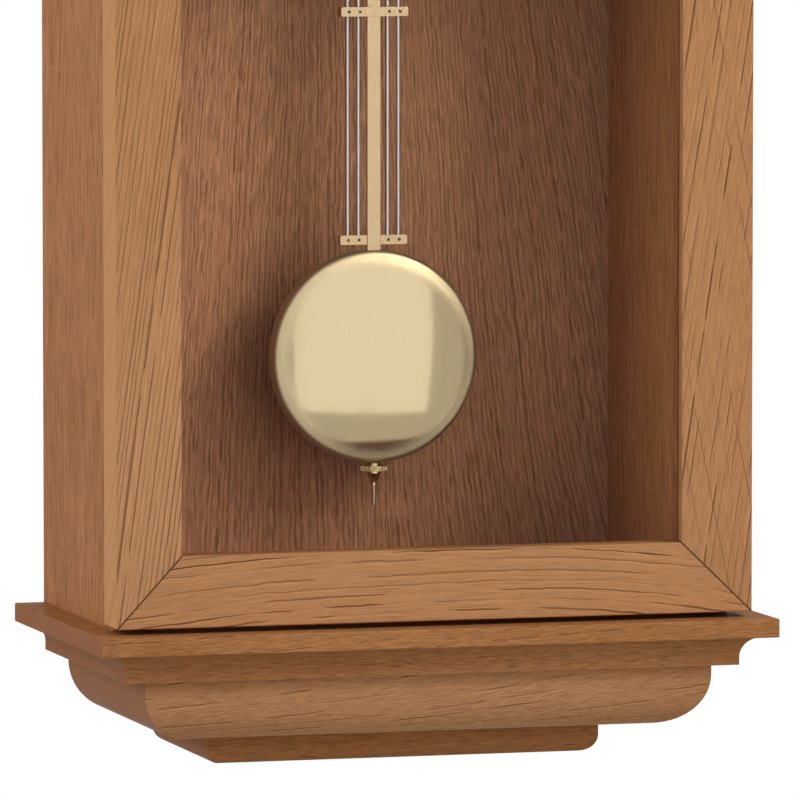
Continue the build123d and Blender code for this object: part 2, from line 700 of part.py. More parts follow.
def going_train():
    wheel = wheel_face(CENTRE_TEETH, CENTRE_LEAVES, CENTRE_MODULE)
    wheel = crossed_out(wheel, CENTRE_TEETH * CENTRE_MODULE / 2 - 3, 5, 4, 3) - Circle(CENTRE_R)
    centre = shaft(CENTRE_R, CENTRE, END_SHAKE, CANNON_END + 3)
    centre += shaft(PIVOT_R, CENTRE, -PLATE_T, 1)
    leaves = pinion_face(INTER_LEAVES, INTER_TEETH, INTER_MODULE)
    centre += laid(leaves, CENTRE, 0, *CENTRE_PINION_LAYER)
    centre_wheel = laid(wheel, CENTRE, 0, *CENTRE_LAYER)

    third_r = 1.2
    third = bored_arbor(THIRD, third_r, PIVOT_R)
    leaves = pinion_face(CENTRE_LEAVES, CENTRE_TEETH, CENTRE_MODULE)
    third += laid(leaves, THIRD, THIRD_TURN, *THIRD_PINION_LAYER)
    wheel = wheel_face(THIRD_TEETH, THIRD_LEAVES, THIRD_MODULE)
    wheel = crossed_out(wheel, THIRD_TEETH * THIRD_MODULE / 2 - 2.5, 4.5, 4, 2.5) - Circle(third_r)
    third_wheel = laid(wheel, THIRD, THIRD_TURN, *THIRD_LAYER)

    inter_r = 2.5
    inter = bored_arbor(INTER, inter_r, 2 * PIVOT_R)
    leaves = pinion_face(GREAT_LEAVES, GREAT_TEETH, GREAT_MODULE)
    inter += laid(leaves, INTER, INTER_TURN, *INTER_PINION_LAYER)
    wheel = wheel_face(INTER_TEETH, INTER_LEAVES, INTER_MODULE)
    wheel = crossed_out(wheel, INTER_TEETH * INTER_MODULE / 2 - 3.5, 6.5, 4, 3.5) - Circle(inter_r)
    inter_wheel = laid(wheel, INTER, INTER_TURN, *INTER_LAYER)
    return {
        "centre_arbor": [centre, centre_wheel],
        "third_arbor": [third, third_wheel],
        "intermediate_arbor": [inter, inter_wheel],
    }


def escape_face():
    root = ESCAPE_R - ESCAPE_TOOTH_H
    base = 0.2 * ESCAPE_PITCH
    land = 0.1 / ESCAPE_R
    edges = []
    for tooth in range(ESCAPE_TEETH):
        mid = tooth * ESCAPE_PITCH
        p = [polar(root, mid - base), polar(ESCAPE_R, mid - land), polar(ESCAPE_R, mid + land)]
        p += [polar(root, mid + base), polar(root, mid + ESCAPE_PITCH - base)]
        edges += [Line(a, b) for a, b in zip(p, p[1:])]
    return outline(*edges)


def anchor_face():
    """Pallets just clear of the tooth tips when the pendulum hangs straight, about the escape wheel."""
    half_pallet = PALLET_SHARE * ESCAPE_PITCH / 2
    pivot = ANCHOR[1] - ESCAPE[1]
    low, arm, high = ESCAPE_R + PALLET_CLEAR, ESCAPE_R + 1.6, ESCAPE_R + 4.2
    face = Pos(0, pivot) * Circle(4.0)
    for side in (-1, 1):
        angle = math.pi / 2 + side * HALF_SPAN
        near, far = angle - side * half_pallet, angle + side * half_pallet
        corners = [polar(low, near), polar(low, far), polar(high, far), (side * -2.4, pivot + 3.0)]
        corners += [(0, pivot - 1.5), polar(arm, near)]
        face += make_face(Polyline(*corners, close=True))
    return face


def escapement():
    escape_r = 0.95
    wheel = crossed_out(escape_face(), ESCAPE_R - ESCAPE_TOOTH_H - 1.6, 4, 4, 2) - Circle(escape_r)
    # A quarter pitch past the entry pallet leaves both pallets in a space between two teeth
    turn = math.pi / 2 + HALF_SPAN + ESCAPE_PITCH / 4
    arbor = bored_arbor(ESCAPE, escape_r, PIVOT_R - 0.1)
    leaves = pinion_face(THIRD_LEAVES, THIRD_TEETH, THIRD_MODULE)
    arbor += laid(leaves, ESCAPE, ESCAPE_TURN, *ESCAPE_PINION_LAYER)
    rear = -PLATE_T - 6.0
    pallets = laid(anchor_face(), ESCAPE, 0, *ANCHOR_LAYER) - shaft(ANCHOR_R, ANCHOR, 0, PLATE_GAP)
    anchor_arbor = shaft(ANCHOR_R, ANCHOR, rear, PLATE_GAP - END_SHAKE)
    anchor_arbor += shaft(PIVOT_R, ANCHOR, PLATE_GAP / 2, OUTER)
    crutch = shaft(2 * ANCHOR_R, ANCHOR, rear, rear + 4)
    y = (layer(rear + 3), layer(rear + 1))
    fork = SWING_Z - CRUTCH_LENGTH
    fork_z = (fork - CRUTCH_HALF_H, fork + CRUTCH_HALF_H)
    inside = STRIP_W / 2 + PRONG_CLEAR
    outside = inside + PRONG_W
    crutch += block((-CRUTCH_HALF_H, CRUTCH_HALF_H), y, (fork, SWING_Z))
    crutch += block((-outside, outside), y, fork_z)
    for side in (-1, 1):
        x = sorted((side * inside, side * outside))
        crutch += block(x, (y[0], HOOK_HALF - PENDULUM_OUT), fork_z)
    return {
        "escape_arbor": [arbor, laid(wheel, ESCAPE, turn, *ESCAPE_LAYER)],
        "anchor": [pallets, anchor_arbor],
        "crutch": crutch - shaft(ANCHOR_R, ANCHOR, rear - 1, rear + 5),
    }


def motion_work():
    cannon = laid(pinion_face(CANNON_LEAVES, MINUTE_TEETH, CANNON_MODULE), CENTRE, 0, *CANNON_LAYER)
    cannon += shaft(CANNON_R, CENTRE, CANNON_LAYER[0], CANNON_END)
    cannon -= shaft(CENTRE_R + RUNNING, CENTRE, CANNON_LAYER[0], CANNON_END)
    wheel = wheel_face(MINUTE_TEETH, CANNON_LEAVES, CANNON_MODULE)
    minute = laid(wheel, MINUTE, MINUTE_TURN, *MINUTE_LAYER)
    front = MINUTE_LAYER[0] + MINUTE_LAYER[1]
    leaves = pinion_face(HOUR_LEAVES, HOUR_TEETH, HOUR_MODULE)
    minute += laid(leaves, MINUTE, MINUTE_TURN, front, HOUR_LAYER[0] + HOUR_LAYER[1] - front)
    minute -= shaft(STUD_R + RUNNING, MINUTE, OUTER, HOUR_PIPE_END)
    hour = laid(wheel_face(HOUR_TEETH, HOUR_LEAVES, HOUR_MODULE), CENTRE, HOUR_TURN, *HOUR_LAYER)
    hour += shaft(HOUR_PIPE_R, CENTRE, HOUR_LAYER[0], HOUR_PIPE_END)
    hour -= shaft(CANNON_R + FIT, CENTRE, HOUR_LAYER[0], HOUR_PIPE_END)
    return {"cannon_pinion": cannon, "minute_wheel": minute, "hour_wheel": hour}


# Hands: the stem's share of the length, then its width, the tail's width and the nut
HAND_STEM_SHARE = 0.36
HAND_STEM_W = 1.8
HAND_TAIL_W = 2.6
HAND_NUT_R = 4.2
HAND_NUT_H = 2.4


def hand(length, width, tail, bore):
    """Leaf-shaped hand pointing up, with a round boss and a short tail."""
    start = HAND_STEM_SHARE * length
    bulge = dome_radius((length - start) / 2, width / 2)
    ends = (0, length), (0, start)
    blade = outline(RadiusArc(*ends, -bulge), RadiusArc(*reversed(ends), -bulge))
    stem = Pos(0, start / 2 + 2) * Rectangle(HAND_STEM_W, start + 4)
    back = Pos(0, -tail / 2) * Rectangle(HAND_TAIL_W, tail)
    return blade + stem + back + Circle(bore + HAND_BOSS) - Circle(bore)


def hands():
    minute_turn = -2 * math.pi * (TIME_SHOWN % 1)
    hour_turn = -2 * math.pi * TIME_SHOWN / 12
    face = hand(MINUTE_HAND, MINUTE_HAND_W, MINUTE_TAIL, CANNON_R)
    minute = laid(face, CENTRE, minute_turn, MINUTE_HAND_BACK, HAND_T)
    face = hand(HOUR_HAND, HOUR_HAND_W, HOUR_TAIL, HOUR_PIPE_R)
    hour = laid(face, CENTRE, hour_turn, HOUR_HAND_BACK, HAND_T)
    nut = shaft(HAND_NUT_R, CENTRE, CANNON_END + FIT, CANNON_END + HAND_NUT_H)
    nut -= shaft(CENTRE_R + RUNNING, CENTRE, CANNON_END, CANNON_END + 3)
    return {"minute_hand": minute, "hour_hand": hour, "hand_nut": nut}


def spiral_face(inner, turns, pitch, thick):
    """Flat spiral of half circles with an even thickness."""
    outside, inside = [], []
    for half in range(2 * turns):
        radius = inner + half * pitch / 2
        side = 1 if half % 2 == 0 else -1
        middle = 0 if half % 2 == 0 else pitch / 2
        for edge, grow in ((outside, thick / 2), (inside, -thick / 2)):
            r = radius + grow
            edge.append(ThreePointArc((middle + side * r, 0), (middle, side * r), (middle - side * r, 0)))
    start = Line(inside[0] @ 0, outside[0] @ 0)
    end = Line(outside[-1] @ 1, inside[-1] @ 1)
    return outline(start, *outside, end, *inside)


def barrel():
    inner = DRUM_R - DRUM_WALL
    great = wheel_face(GREAT_TEETH, GREAT_LEAVES, GREAT_MODULE)
    drum = laid(great, BARREL, BARREL_TURN, *GREAT_LAYER)
    drum += shaft(DRUM_R, BARREL, DRUM_BACK, DRUM_BACK + DRUM_H)
    drum -= shaft(inner, BARREL, DRUM_BACK, DRUM_BACK + DRUM_H)
    drum -= shaft(BARREL_ARBOR_R + RUNNING, BARREL, 0, DRUM_BACK)
    cap_back = DRUM_BACK + DRUM_H - CAP_T
    cap = shaft(inner - RUNNING, BARREL, cap_back, cap_back + CAP_T)
    cap -= shaft(BARREL_ARBOR_R + RUNNING, BARREL, cap_back, cap_back + CAP_T)
    room = cap_back - DRUM_BACK
    first = BARREL_CORE_R + 1.2
    pitch = (inner - first - 2 * FIT - SPRING_T / 2) / SPRING_TURNS
    coil = spiral_face(first, SPRING_TURNS, pitch, SPRING_T)
    spring = laid(coil, BARREL, 0, DRUM_BACK + FIT, room - 2 * FIT)
    arbor = shaft(BARREL_ARBOR_R, BARREL, END_SHAKE, OUTER + 0.5)
    arbor += shaft(BARREL_ARBOR_R - 1, BARREL, -PLATE_T, 1)
    arbor += shaft(BARREL_CORE_R, BARREL, DRUM_BACK + FIT, cap_back - FIT)
    arbor += laid(Rectangle(SQUARE, SQUARE), BARREL, 0, OUTER, DIAL_SPACE + DIAL_T - 0.2)
    return {"barrel_drum": drum, "barrel_cap": cap, "mainspring": spring, "barrel_arbor": arbor}


# Click: its beak rests behind a ratchet tooth; the pivot lies ahead along the tangent
CLICK_TOOTH = math.radians(15)
CLICK_REACH = 15.0
CLICK_LEAD = math.radians(0.8)
CLICK_BEAK = polar(RATCHET_R + 1.6, CLICK_TOOTH + CLICK_LEAD)
CLICK_STUD = (
    BARREL[0] + CLICK_BEAK[0] - CLICK_REACH * math.sin(CLICK_TOOTH),
    BARREL[1] + CLICK_BEAK[1] + CLICK_REACH * math.cos(CLICK_TOOTH),
)
CLICK_HUB = 3.5
CLICK_T = 2.0
CLICK_SPRING_FOOT = (8.5, 15.0)
CLICK_SPRING_TIP = (3.6, 2.0)
CLICK_SPRING_T = 0.5
CLICK_SPRING_FOOT_R = 2.2
CLICK_LIFT = 0.2


def ratchet():
    step = 2 * math.pi / RATCHET_TEETH
    root = RATCHET_R - RATCHET_DEPTH
    edges = []
    for tooth in range(RATCHET_TEETH):
        last, after = tooth * step, (tooth + 1) * step
        edges += [Line(polar(root, last), polar(RATCHET_R, after))]
        edges += [Line(polar(RATCHET_R, after), polar(root, after))]
    face = outline(*edges) - Rectangle(SQUARE + FIT, SQUARE + FIT)
    wheel = laid(face, BARREL, 0, *RATCHET_LAYER)
    stud = (CLICK_STUD[0] - BARREL[0], CLICK_STUD[1] - BARREL[1])
    near = CLICK_TOOTH + CLICK_LEAD
    corners = [polar(root + 0.25, near), polar(RATCHET_R + 4.6, near)]
    corners += [(stud[0] + 2.6, stud[1] + 2.0), (stud[0] - 2.6, stud[1])]
    corners += [polar(RATCHET_R + 0.7, CLICK_TOOTH + math.radians(10))]
    face = make_face(Polyline(*corners, close=True)) + Pos(*stud) * Circle(CLICK_HUB)
    face -= Pos(*stud) * Circle(STUD_R + RUNNING)
    click = laid(face, BARREL, 0, RATCHET_LAYER[0] + CLICK_LIFT, CLICK_T)
    # Leaf spring bearing on the back of the click, its foot riveted to the plate
    start = (CLICK_BEAK[0] + CLICK_SPRING_FOOT[0], CLICK_BEAK[1] + CLICK_SPRING_FOOT[1])
    rest = (CLICK_BEAK[0] + CLICK_SPRING_TIP[0], CLICK_BEAK[1] + CLICK_SPRING_TIP[1])
    along = math.atan2(rest[1] - start[1], rest[0] - start[0])
    length = math.dist(start, rest)
    leaf = Pos(length / 2, 0) * Rectangle(length, CLICK_SPRING_T)
    leaf = Pos(*start) * Rot(0, 0, math.degrees(along)) * leaf
    foot = Pos(*start) * Circle(CLICK_SPRING_FOOT_R)
    low = RATCHET_LAYER[0] + 2 * CLICK_LIFT
    spring = laid(leaf + foot, BARREL, 0, low, CLICK_T - 2 * CLICK_LIFT)
    spring += laid(foot, BARREL, 0, OUTER, low - OUTER)
    return {"ratchet_wheel": wheel, "click": click, "click_spring": spring}


def movement_screws(grow=0.0):
    """Cheese-headed screws: one at each end of every pillar and two in the suspension cock."""
    seats = []
    for x, z in PILLARS:
        seats.append((x, HAND_Z + z, BACK_REAR, BACK_REAR - PILLAR_SCREW_L))
        seats.append((x, HAND_Z + z, FRONT_FACE, FRONT_FACE + PILLAR_SCREW_L))
    cock_z = HAND_Z + ANCHOR[1] + COCK_LOW + COCK_H / 2
    seats += [(x, cock_z, BACK_REAR + COCK_T, BACK_INNER) for x in (-COCK_SCREW_X, COCK_SCREW_X)]
    screws = []
    for x, z, face, end in seats:
        out = math.copysign(CHEESE_H, face - end)
        head = rod(CHEESE_R + grow, (x, face, z), (x, face + out, z))
        whole = head + rod(SCREW_R + grow, (x, face, z), (x, end - math.copysign(grow, out), z))
        if grow == 0:
            floor = face + out - math.copysign(SCREW_SLOT_D, out)
            slot_y = sorted((floor, face + 2 * out))
            whole -= block((x - CHEESE_R, x + CHEESE_R), slot_y, (z - SCREW_SLOT_W / 2, z + SCREW_SLOT_W / 2))
        screws.append(whole)
    return screws


def movement_frame():
    corners = Rectangle(2 * PLATE_HALF, PLATE_HIGH - PLATE_LOW)
    plate = Pos(0, (PLATE_HIGH + PLATE_LOW) / 2) * fillet(corners.vertices(), PILLAR_INSET - 1)
    front = plate
    back = plate
    for place, radius in ((THIRD, PIVOT_R), (ESCAPE, PIVOT_R - 0.1), (INTER, 2 * PIVOT_R)):
        front -= Pos(*place) * Circle(radius + RUNNING)
        back -= Pos(*place) * Circle(radius + RUNNING)
    front -= Pos(*CENTRE) * Circle(CENTRE_R + RUNNING)
    front -= Pos(*ANCHOR) * Circle(PIVOT_R + RUNNING)
    front -= Pos(*BARREL) * Circle(BARREL_ARBOR_R + RUNNING)
    back -= Pos(*CENTRE) * Circle(PIVOT_R + RUNNING)
    back -= Pos(*ANCHOR) * Circle(ANCHOR_R + RUNNING)
    back -= Pos(*BARREL) * Circle(BARREL_ARBOR_R - 1 + RUNNING)
    front = laid(front, CENTRE, 0, PLATE_GAP, PLATE_T)
    front += shaft(STUD_R, MINUTE, OUTER - 1, HOUR_LAYER[0] + HOUR_LAYER[1] + 0.8)
    front += shaft(STUD_R, CLICK_STUD, OUTER - 1, RATCHET_LAYER[0] + CLICK_T + 1)
    back = laid(back, CENTRE, 0, -PLATE_T, PLATE_T)
    pillars = [shaft(PILLAR_R, place, 0, PLATE_GAP) for place in PILLARS]
    z = HAND_Z + ANCHOR[1]
    tall = (z + COCK_LOW, z + COCK_LOW + COCK_H)
    cock = block((-COCK_SCREW_X - 4, COCK_SCREW_X + 4), (BACK_REAR, BACK_REAR + COCK_T), tall)
    reach = -PENDULUM_OUT + 5
    cock += block((-COCK_ARM, COCK_ARM), (BACK_REAR, reach), tall)
    cock += block((-COCK_ARM, COCK_ARM), (-PENDULUM_OUT - 5, reach), (z + FIT, z + COCK_LOW))
    for hole in movement_screws(RUNNING):
        front -= hole
        back -= hole
        cock -= hole
        pillars = [pillar - hole for pillar in pillars]
    for bolt in seat_bolts(RUNNING):
        pillars = [pillar - bolt for pillar in pillars]
    return {
        "front_plate": front,
        "back_plate": back,
        "pillars": pillars,
        "movement_screws": movement_screws(),
        "suspension_cock": cock,
    }


def seat_bolts(grow=0.0):
    """Bolts up through the seat board into the two lower pillars."""
    bolts = []
    y = (BACK_INNER + FRONT_INNER) / 2
    for x, z in PILLARS:
        if z < 0:
            under = SEAT_TOP - SEAT_T
            shank = rod(BOLT_R + grow, (x, y, under), (x, y, HAND_Z + z + grow))
            bolts.append(shank + rod(2 * BOLT_R + grow, (x, y, under - 3), (x, y, under)))
    return bolts


def seat():
    y = (FRONT_FACE - 4, BACK_REAR + 2)
    x = INNER_X - PANEL_CLEAR
    board = block((-x, x), y, (SEAT_TOP - SEAT_T, SEAT_TOP))
    for hole in seat_bolts(FIT):
        board -= hole
    low = (SEAT_TOP - SEAT_T - CLEAT, SEAT_TOP - SEAT_T)
    cleats = [block((INNER_X - CLEAT, INNER_X), y, low), block((-INNER_X, CLEAT - INNER_X), y, low)]
    return {"seat_board": board, "seat_cleats": cleats, "seat_bolts": seat_bolts()}


# Dial feet, and how far the bezel's outer and inner edges stand above the dial
DIAL_FOOT_R = 3.0
BEZEL_OUTER_H = 1.0
BEZEL_INNER_H = 0.6


def dial():
    face = Circle(DIAL_R) - Circle(DIAL_HOLE_R) - Pos(*BARREL) * Circle(KEY_HOLE_R)
    plate = laid(face, CENTRE, 0, OUTER + DIAL_SPACE, DIAL_T)
    for foot in DIAL_FEET:
        plate += shaft(DIAL_FOOT_R, foot, OUTER, OUTER + DIAL_SPACE)
    inner, outer = DIAL_R - BEZEL_W / 2, DIAL_R + BEZEL_W
    lip = DIAL_R + FIT
    low, high = DIAL_T + BEZEL_OUTER_H, DIAL_T + BEZEL_INNER_H
    profile = outline(
        Line((lip, 0), (outer, 0)),
        Line((outer, 0), (outer, low)),
        ThreePointArc((outer, low), ((inner + outer) / 2, DIAL_T + BEZEL_H), (inner, high)),
        Line((inner, high), (inner, DIAL_T)),
        Line((inner, DIAL_T), (lip, DIAL_T)),
        Line((lip, DIAL_T), (lip, 0)),
    )
    return {"dial_plate": plate, "dial_bezel": turned(profile, 0, DIAL_BACK, HAND_Z)}


# Pendulum levels, from the swing point of the suspension down to the thread that clears the base
SWING_Z = HAND_Z + ANCHOR[1]
THREAD_LOW = BASE_TOP + FLOOR_CLEAR
BOB_Z = THREAD_LOW + THREAD_END + BOB_R
FIRST_BAR = BOB_Z + BOB_R + BAR_ABOVE_BOB
BAR_STEP = (SWING_Z - LYRE_DROP - FIRST_BAR) / 2
RODS = (-ROD_OUTER, -ROD_INNER, ROD_INNER, ROD_OUTER)
ROD_Y = -PENDULUM_OUT - STRIP_T / 2 + BAR_SHY + BAR_D / 2


def pendulum():
    y = -PENDULUM_OUT
    hook = SWING_Z - SPRING_LENGTH
    grip = hook - SPRING_GRIP
    foot = BOB_Z + STRIP_FOOT
    leaf = LEAF_T / 2
    spring = block((-leaf, leaf), (y - SPRING_HALF_W, y + SPRING_HALF_W), (grip, SWING_Z))
    strip = block((-STRIP_W / 2, STRIP_W / 2), (y - STRIP_T / 2, y + STRIP_T / 2), (foot, grip))
    strip += block((-HOOK_HALF, HOOK_HALF), (y - HOOK_HALF, y + HOOK_HALF), (hook - HOOK_H, hook))
    slit = leaf + FIT / 5
    slit_y = (y - SPRING_HALF_W - FIT, y + SPRING_HALF_W + FIT)
    strip -= block((-slit, slit), slit_y, (grip - FIT / 5, hook))
    strip += rod(THREAD_R, (0, y, THREAD_LOW), (0, y, foot + THREAD_R))
    back = ROD_Y + BAR_D / 2
    bars = []
    for level in range(3):
        z = FIRST_BAR + level * BAR_STEP
        front = ROD_Y - BAR_D / 2 if level == 0 else y - STRIP_T / 2 - BAR_PROUD
        bar = block((-BAR_W / 2, BAR_W / 2), (front, back), (z - BAR_H / 2, z + BAR_H / 2))
        bar = fillet(bar.edges().filter_by(Axis.Y), BAR_ROUND)
        half = STRIP_W / 2 + FIT
        groove = (front - 1, y + STRIP_T / 2 + FIT) if level == 0 else (y - STRIP_T / 2 - FIT, back + 1)
        bar -= block((-half, half), groove, (z - BAR_H, z + BAR_H))
        for x in RODS:
            bar -= rod(ROD_R, (x, ROD_Y, z - BAR_H), (x, ROD_Y, z + BAR_H))
            bar -= rod(PIN_HOLE_R, (x, front - 1, z), (x, front + PIN_HOLE_DEEP, z))
        bars.append(bar)
    low = FIRST_BAR - BAR_H / 2 + ROD_START
    high = FIRST_BAR + 2 * BAR_STEP + BAR_H / 2 + ROD_END
    rods = [rod(ROD_R, (x, ROD_Y, low), (x, ROD_Y, high)) for x in RODS]
    return {"suspension_spring": spring, "pendulum_rod": strip, "lyre_bars": bars, "lyre_rods": rods}


def bob():
    """Thin domed brass shell over a cast weight that slides on the pendulum rod."""
    dome = dome_radius(BOB_FACE_R, BOB_FACE_RISE)
    slope = BOB_FACE_R / dome
    edge = (BOB_R - BOB_FACE_R) / (1 - slope)
    rim = 0.0
    skirt = rim - BOB_SKIRT
    shoulder = rim + edge * math.sqrt(1 - slope**2)
    crown = shoulder + BOB_FACE_RISE
    t = SHELL_T
    inner_shoulder = polar(dome - t, math.pi / 2 - math.asin(slope))
    lift = crown - dome
    inner_shoulder = (inner_shoulder[0], inner_shoulder[1] + lift)
    shell_face = outline(
        RadiusArc((0, crown), (BOB_FACE_R, shoulder), dome),
        RadiusArc((BOB_FACE_R, shoulder), (BOB_R, rim), edge),
        Line((BOB_R, rim), (BOB_R, skirt)),
        Line((BOB_R, skirt), (BOB_R - t, skirt)),
        Line((BOB_R - t, skirt), (BOB_R - t, rim)),
        RadiusArc((BOB_R - t, rim), inner_shoulder, -(edge - t)),
        RadiusArc(inner_shoulder, (0, crown - t), -(dome - t)),
        Line((0, crown - t), (0, crown)),
    )
    lip = BOB_R - t - RUNNING
    tail = rim - WEIGHT_BACK
    bevel = lip - WEIGHT_BEVEL
    front = lift + math.sqrt((dome - t) ** 2 - bevel**2) - WEIGHT_CLEAR
    weight_face = outline(
        Line((0, front), (bevel, front)),
        Line((bevel, front), (lip, rim)),
        Line((lip, rim), (lip, skirt)),
        RadiusArc((lip, skirt), (0, tail), dome_radius(lip, skirt - tail)),
        Line((0, tail), (0, front)),
    )
    y = -PENDULUM_OUT
    half = STRIP_W / 2 + 2 * FIT
    deep = THREAD_R + 2 * FIT
    slot = block((-half, half), (y - deep, y + deep), (BOB_Z - BOB_R - 1, BOB_Z + BOB_R + 1))
    shell = turned(shell_face, 0, y, BOB_Z) - slot
    return {"bob_shell": shell, "bob_weight": turned(weight_face, 0, y, BOB_Z) - slot}


def rating_nut():
    """Knurled disc between two collars, over a hollow-sided cone that ends in a small bead."""
    top = BOB_Z - BOB_R - FIT
    rim = -NUT_COLLAR_H
    under = rim - NUT_RIM_H
    neck = under - NUT_COLLAR_H
    tip = neck - NUT_CONE_H
    bore = THREAD_R + RUNNING
    face = outline(
        Line((bore, 0), (NUT_COLLAR_R, 0)),
        Line((NUT_COLLAR_R, 0), (NUT_COLLAR_R, rim)),
        Line((NUT_COLLAR_R, rim), (NUT_R, rim)),
        Line((NUT_R, rim), (NUT_R, under)),
        Line((NUT_R, under), (NUT_COLLAR_R, under)),
        Line((NUT_COLLAR_R, under), (NUT_COLLAR_R, neck)),
        RadiusArc((NUT_COLLAR_R, neck), (NUT_TIP_R, tip + NUT_TIP_R), 2 * NUT_CONE_H),
        Line((NUT_TIP_R, tip + NUT_TIP_R), (NUT_TIP_R, tip)),
        Line((NUT_TIP_R, tip), (bore, tip)),
        Line((bore, tip), (bore, 0)),
    )
    nut = revolve(Plane.XZ * face, Axis.Z, 360)
    flutes = [
        Rot(0, 0, 360 * knurl / KNURLS) * rod(KNURL_R, (NUT_R, 0, under), (NUT_R, 0, rim))
        for knurl in range(KNURLS)
    ]
    return Pos(0, -PENDULUM_OUT, top) * (nut - flutes)


case_leaves, door_leaves, hinge_pins = hinges()
nodes = {
    **case_boards(),
    **base_and_crown(),
    **door_frame(),
    **glazing(),
    "door_knob": door_knob(),
    "hinge_case_leaves": case_leaves,
    "hinge_door_leaves": door_leaves,
    "hinge_pins": hinge_pins,
    **seat(),
    **movement_frame(),
    **barrel(),
    **ratchet(),
    **going_train(),
    **escapement(),
    **motion_work(),
    **dial(),
    **hands(),
    **pendulum(),
    **bob(),
    "rating_nut": rating_nut(),
}

os.makedirs("parts", exist_ok=True)
for name, piece in nodes.items():
    solids = []
    for part in piece if isinstance(piece, list) else [piece]:
        solids += part.solids()
    export_step(Compound(children=solids) if len(solids) > 1 else solids[0], f"parts/{name}.step")
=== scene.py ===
import math

import bmesh
import bpy
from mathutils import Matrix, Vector


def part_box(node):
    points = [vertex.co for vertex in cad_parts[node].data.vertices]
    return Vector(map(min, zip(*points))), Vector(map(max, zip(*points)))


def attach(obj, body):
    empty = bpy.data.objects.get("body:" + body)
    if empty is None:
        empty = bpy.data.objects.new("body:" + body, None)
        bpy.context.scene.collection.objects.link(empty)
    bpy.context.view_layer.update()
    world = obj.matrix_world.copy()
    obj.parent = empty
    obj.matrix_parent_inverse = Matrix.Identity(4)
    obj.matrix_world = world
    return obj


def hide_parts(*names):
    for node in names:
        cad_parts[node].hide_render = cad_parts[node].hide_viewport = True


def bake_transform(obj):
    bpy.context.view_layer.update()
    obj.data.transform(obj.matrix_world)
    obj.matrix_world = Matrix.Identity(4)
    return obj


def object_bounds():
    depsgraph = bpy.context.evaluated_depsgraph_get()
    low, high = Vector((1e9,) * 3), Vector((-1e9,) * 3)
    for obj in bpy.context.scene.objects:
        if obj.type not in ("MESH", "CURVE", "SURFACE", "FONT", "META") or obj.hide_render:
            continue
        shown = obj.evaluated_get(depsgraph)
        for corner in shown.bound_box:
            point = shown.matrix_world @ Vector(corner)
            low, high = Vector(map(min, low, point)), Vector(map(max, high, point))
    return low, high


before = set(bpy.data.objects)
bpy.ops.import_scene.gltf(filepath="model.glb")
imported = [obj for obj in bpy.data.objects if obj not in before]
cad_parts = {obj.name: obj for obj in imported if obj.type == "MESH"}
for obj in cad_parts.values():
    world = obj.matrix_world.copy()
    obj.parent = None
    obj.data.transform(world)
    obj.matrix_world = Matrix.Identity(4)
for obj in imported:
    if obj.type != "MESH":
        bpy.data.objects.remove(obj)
cad_low, cad_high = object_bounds()

# Back panel: a board faced with flat-cut oak veneer and stained a deep red brown.
# It drops into rabbets in the two sides and is screwed from behind; the grain stands upright
# in short dark pores that spread a little from one end of the board to the other.
PANEL_WOOD = (0.560, 0.272, 0.136, 1)
PANEL_SHADE = (0.490, 0.227, 0.107, 1)
PANEL_PORE = (0.190, 0.073, 0.028, 1)


def put(tree, kind, sockets=None, **options):
    """Places one node, sets its options and fills its sockets with values or links."""
    made = tree.nodes.new(kind if kind.startswith("NodeGroup") else "ShaderNode" + kind)
    for option, value in options.items():
        setattr(made, option, value)
    for socket, value in (sockets or {}).items():
        if isinstance(value, bpy.types.NodeSocket):
            tree.links.new(value, made.inputs[socket])
        else:
            made.inputs[socket].default_value = value
    return made


def sum_of(tree, kind, first, second=0.0, third=0.0):
    """Output of one arithmetic node."""
    return put(tree, "Math", {0: first, 1: second, 2: third}, operation=kind).outputs[0]


def ramp(tree, value, low, high, start=0.0, end=1.0):
    """Value eased from start to end between two levels."""
    sockets = {0: value, 1: low, 2: high, 3: start, 4: end}
    return put(tree, "MapRange", sockets, interpolation_type="SMOOTHSTEP").outputs[0]


def blend_colour(tree, share, first, second):
    """Output of one colour mix, from all the first colour to all the second."""
    mixed = put(tree, "Mix", data_type="RGBA")
    for socket, value in ((0, share), (6, first), (7, second)):
        if isinstance(value, bpy.types.NodeSocket):
            tree.links.new(value, mixed.inputs[socket])
        else:
            mixed.inputs[socket].default_value = value
    return mixed.outputs[2]


def new_group(name, inputs, outputs):
    """Empty node group with named sockets; inputs are (name, kind, start value)."""
    tree = bpy.data.node_groups.new(name, "ShaderNodeTree")
    for label, kind, start in inputs:
        socket = tree.interface.new_socket(name=label, in_out="INPUT", socket_type="NodeSocket" + kind)
        if start is not None:
            socket.default_value = start
    for label, kind in outputs:
        tree.interface.new_socket(name=label, in_out="OUTPUT", socket_type="NodeSocket" + kind)
    return tree, put(tree, "NodeGroupInput").outputs, put(tree, "NodeGroupOutput").inputs


def stretched_noise(tree, across, through, along, detail=2.0):
    """Noise on coordinates that are already counted in noise cells."""
    cells = put(tree, "CombineXYZ", {0: across, 1: through, 2: along}).outputs[0]
    return put(tree, "TexNoise", {"Vector": cells, "Scale": 1.0, "Detail": detail}).outputs[0]


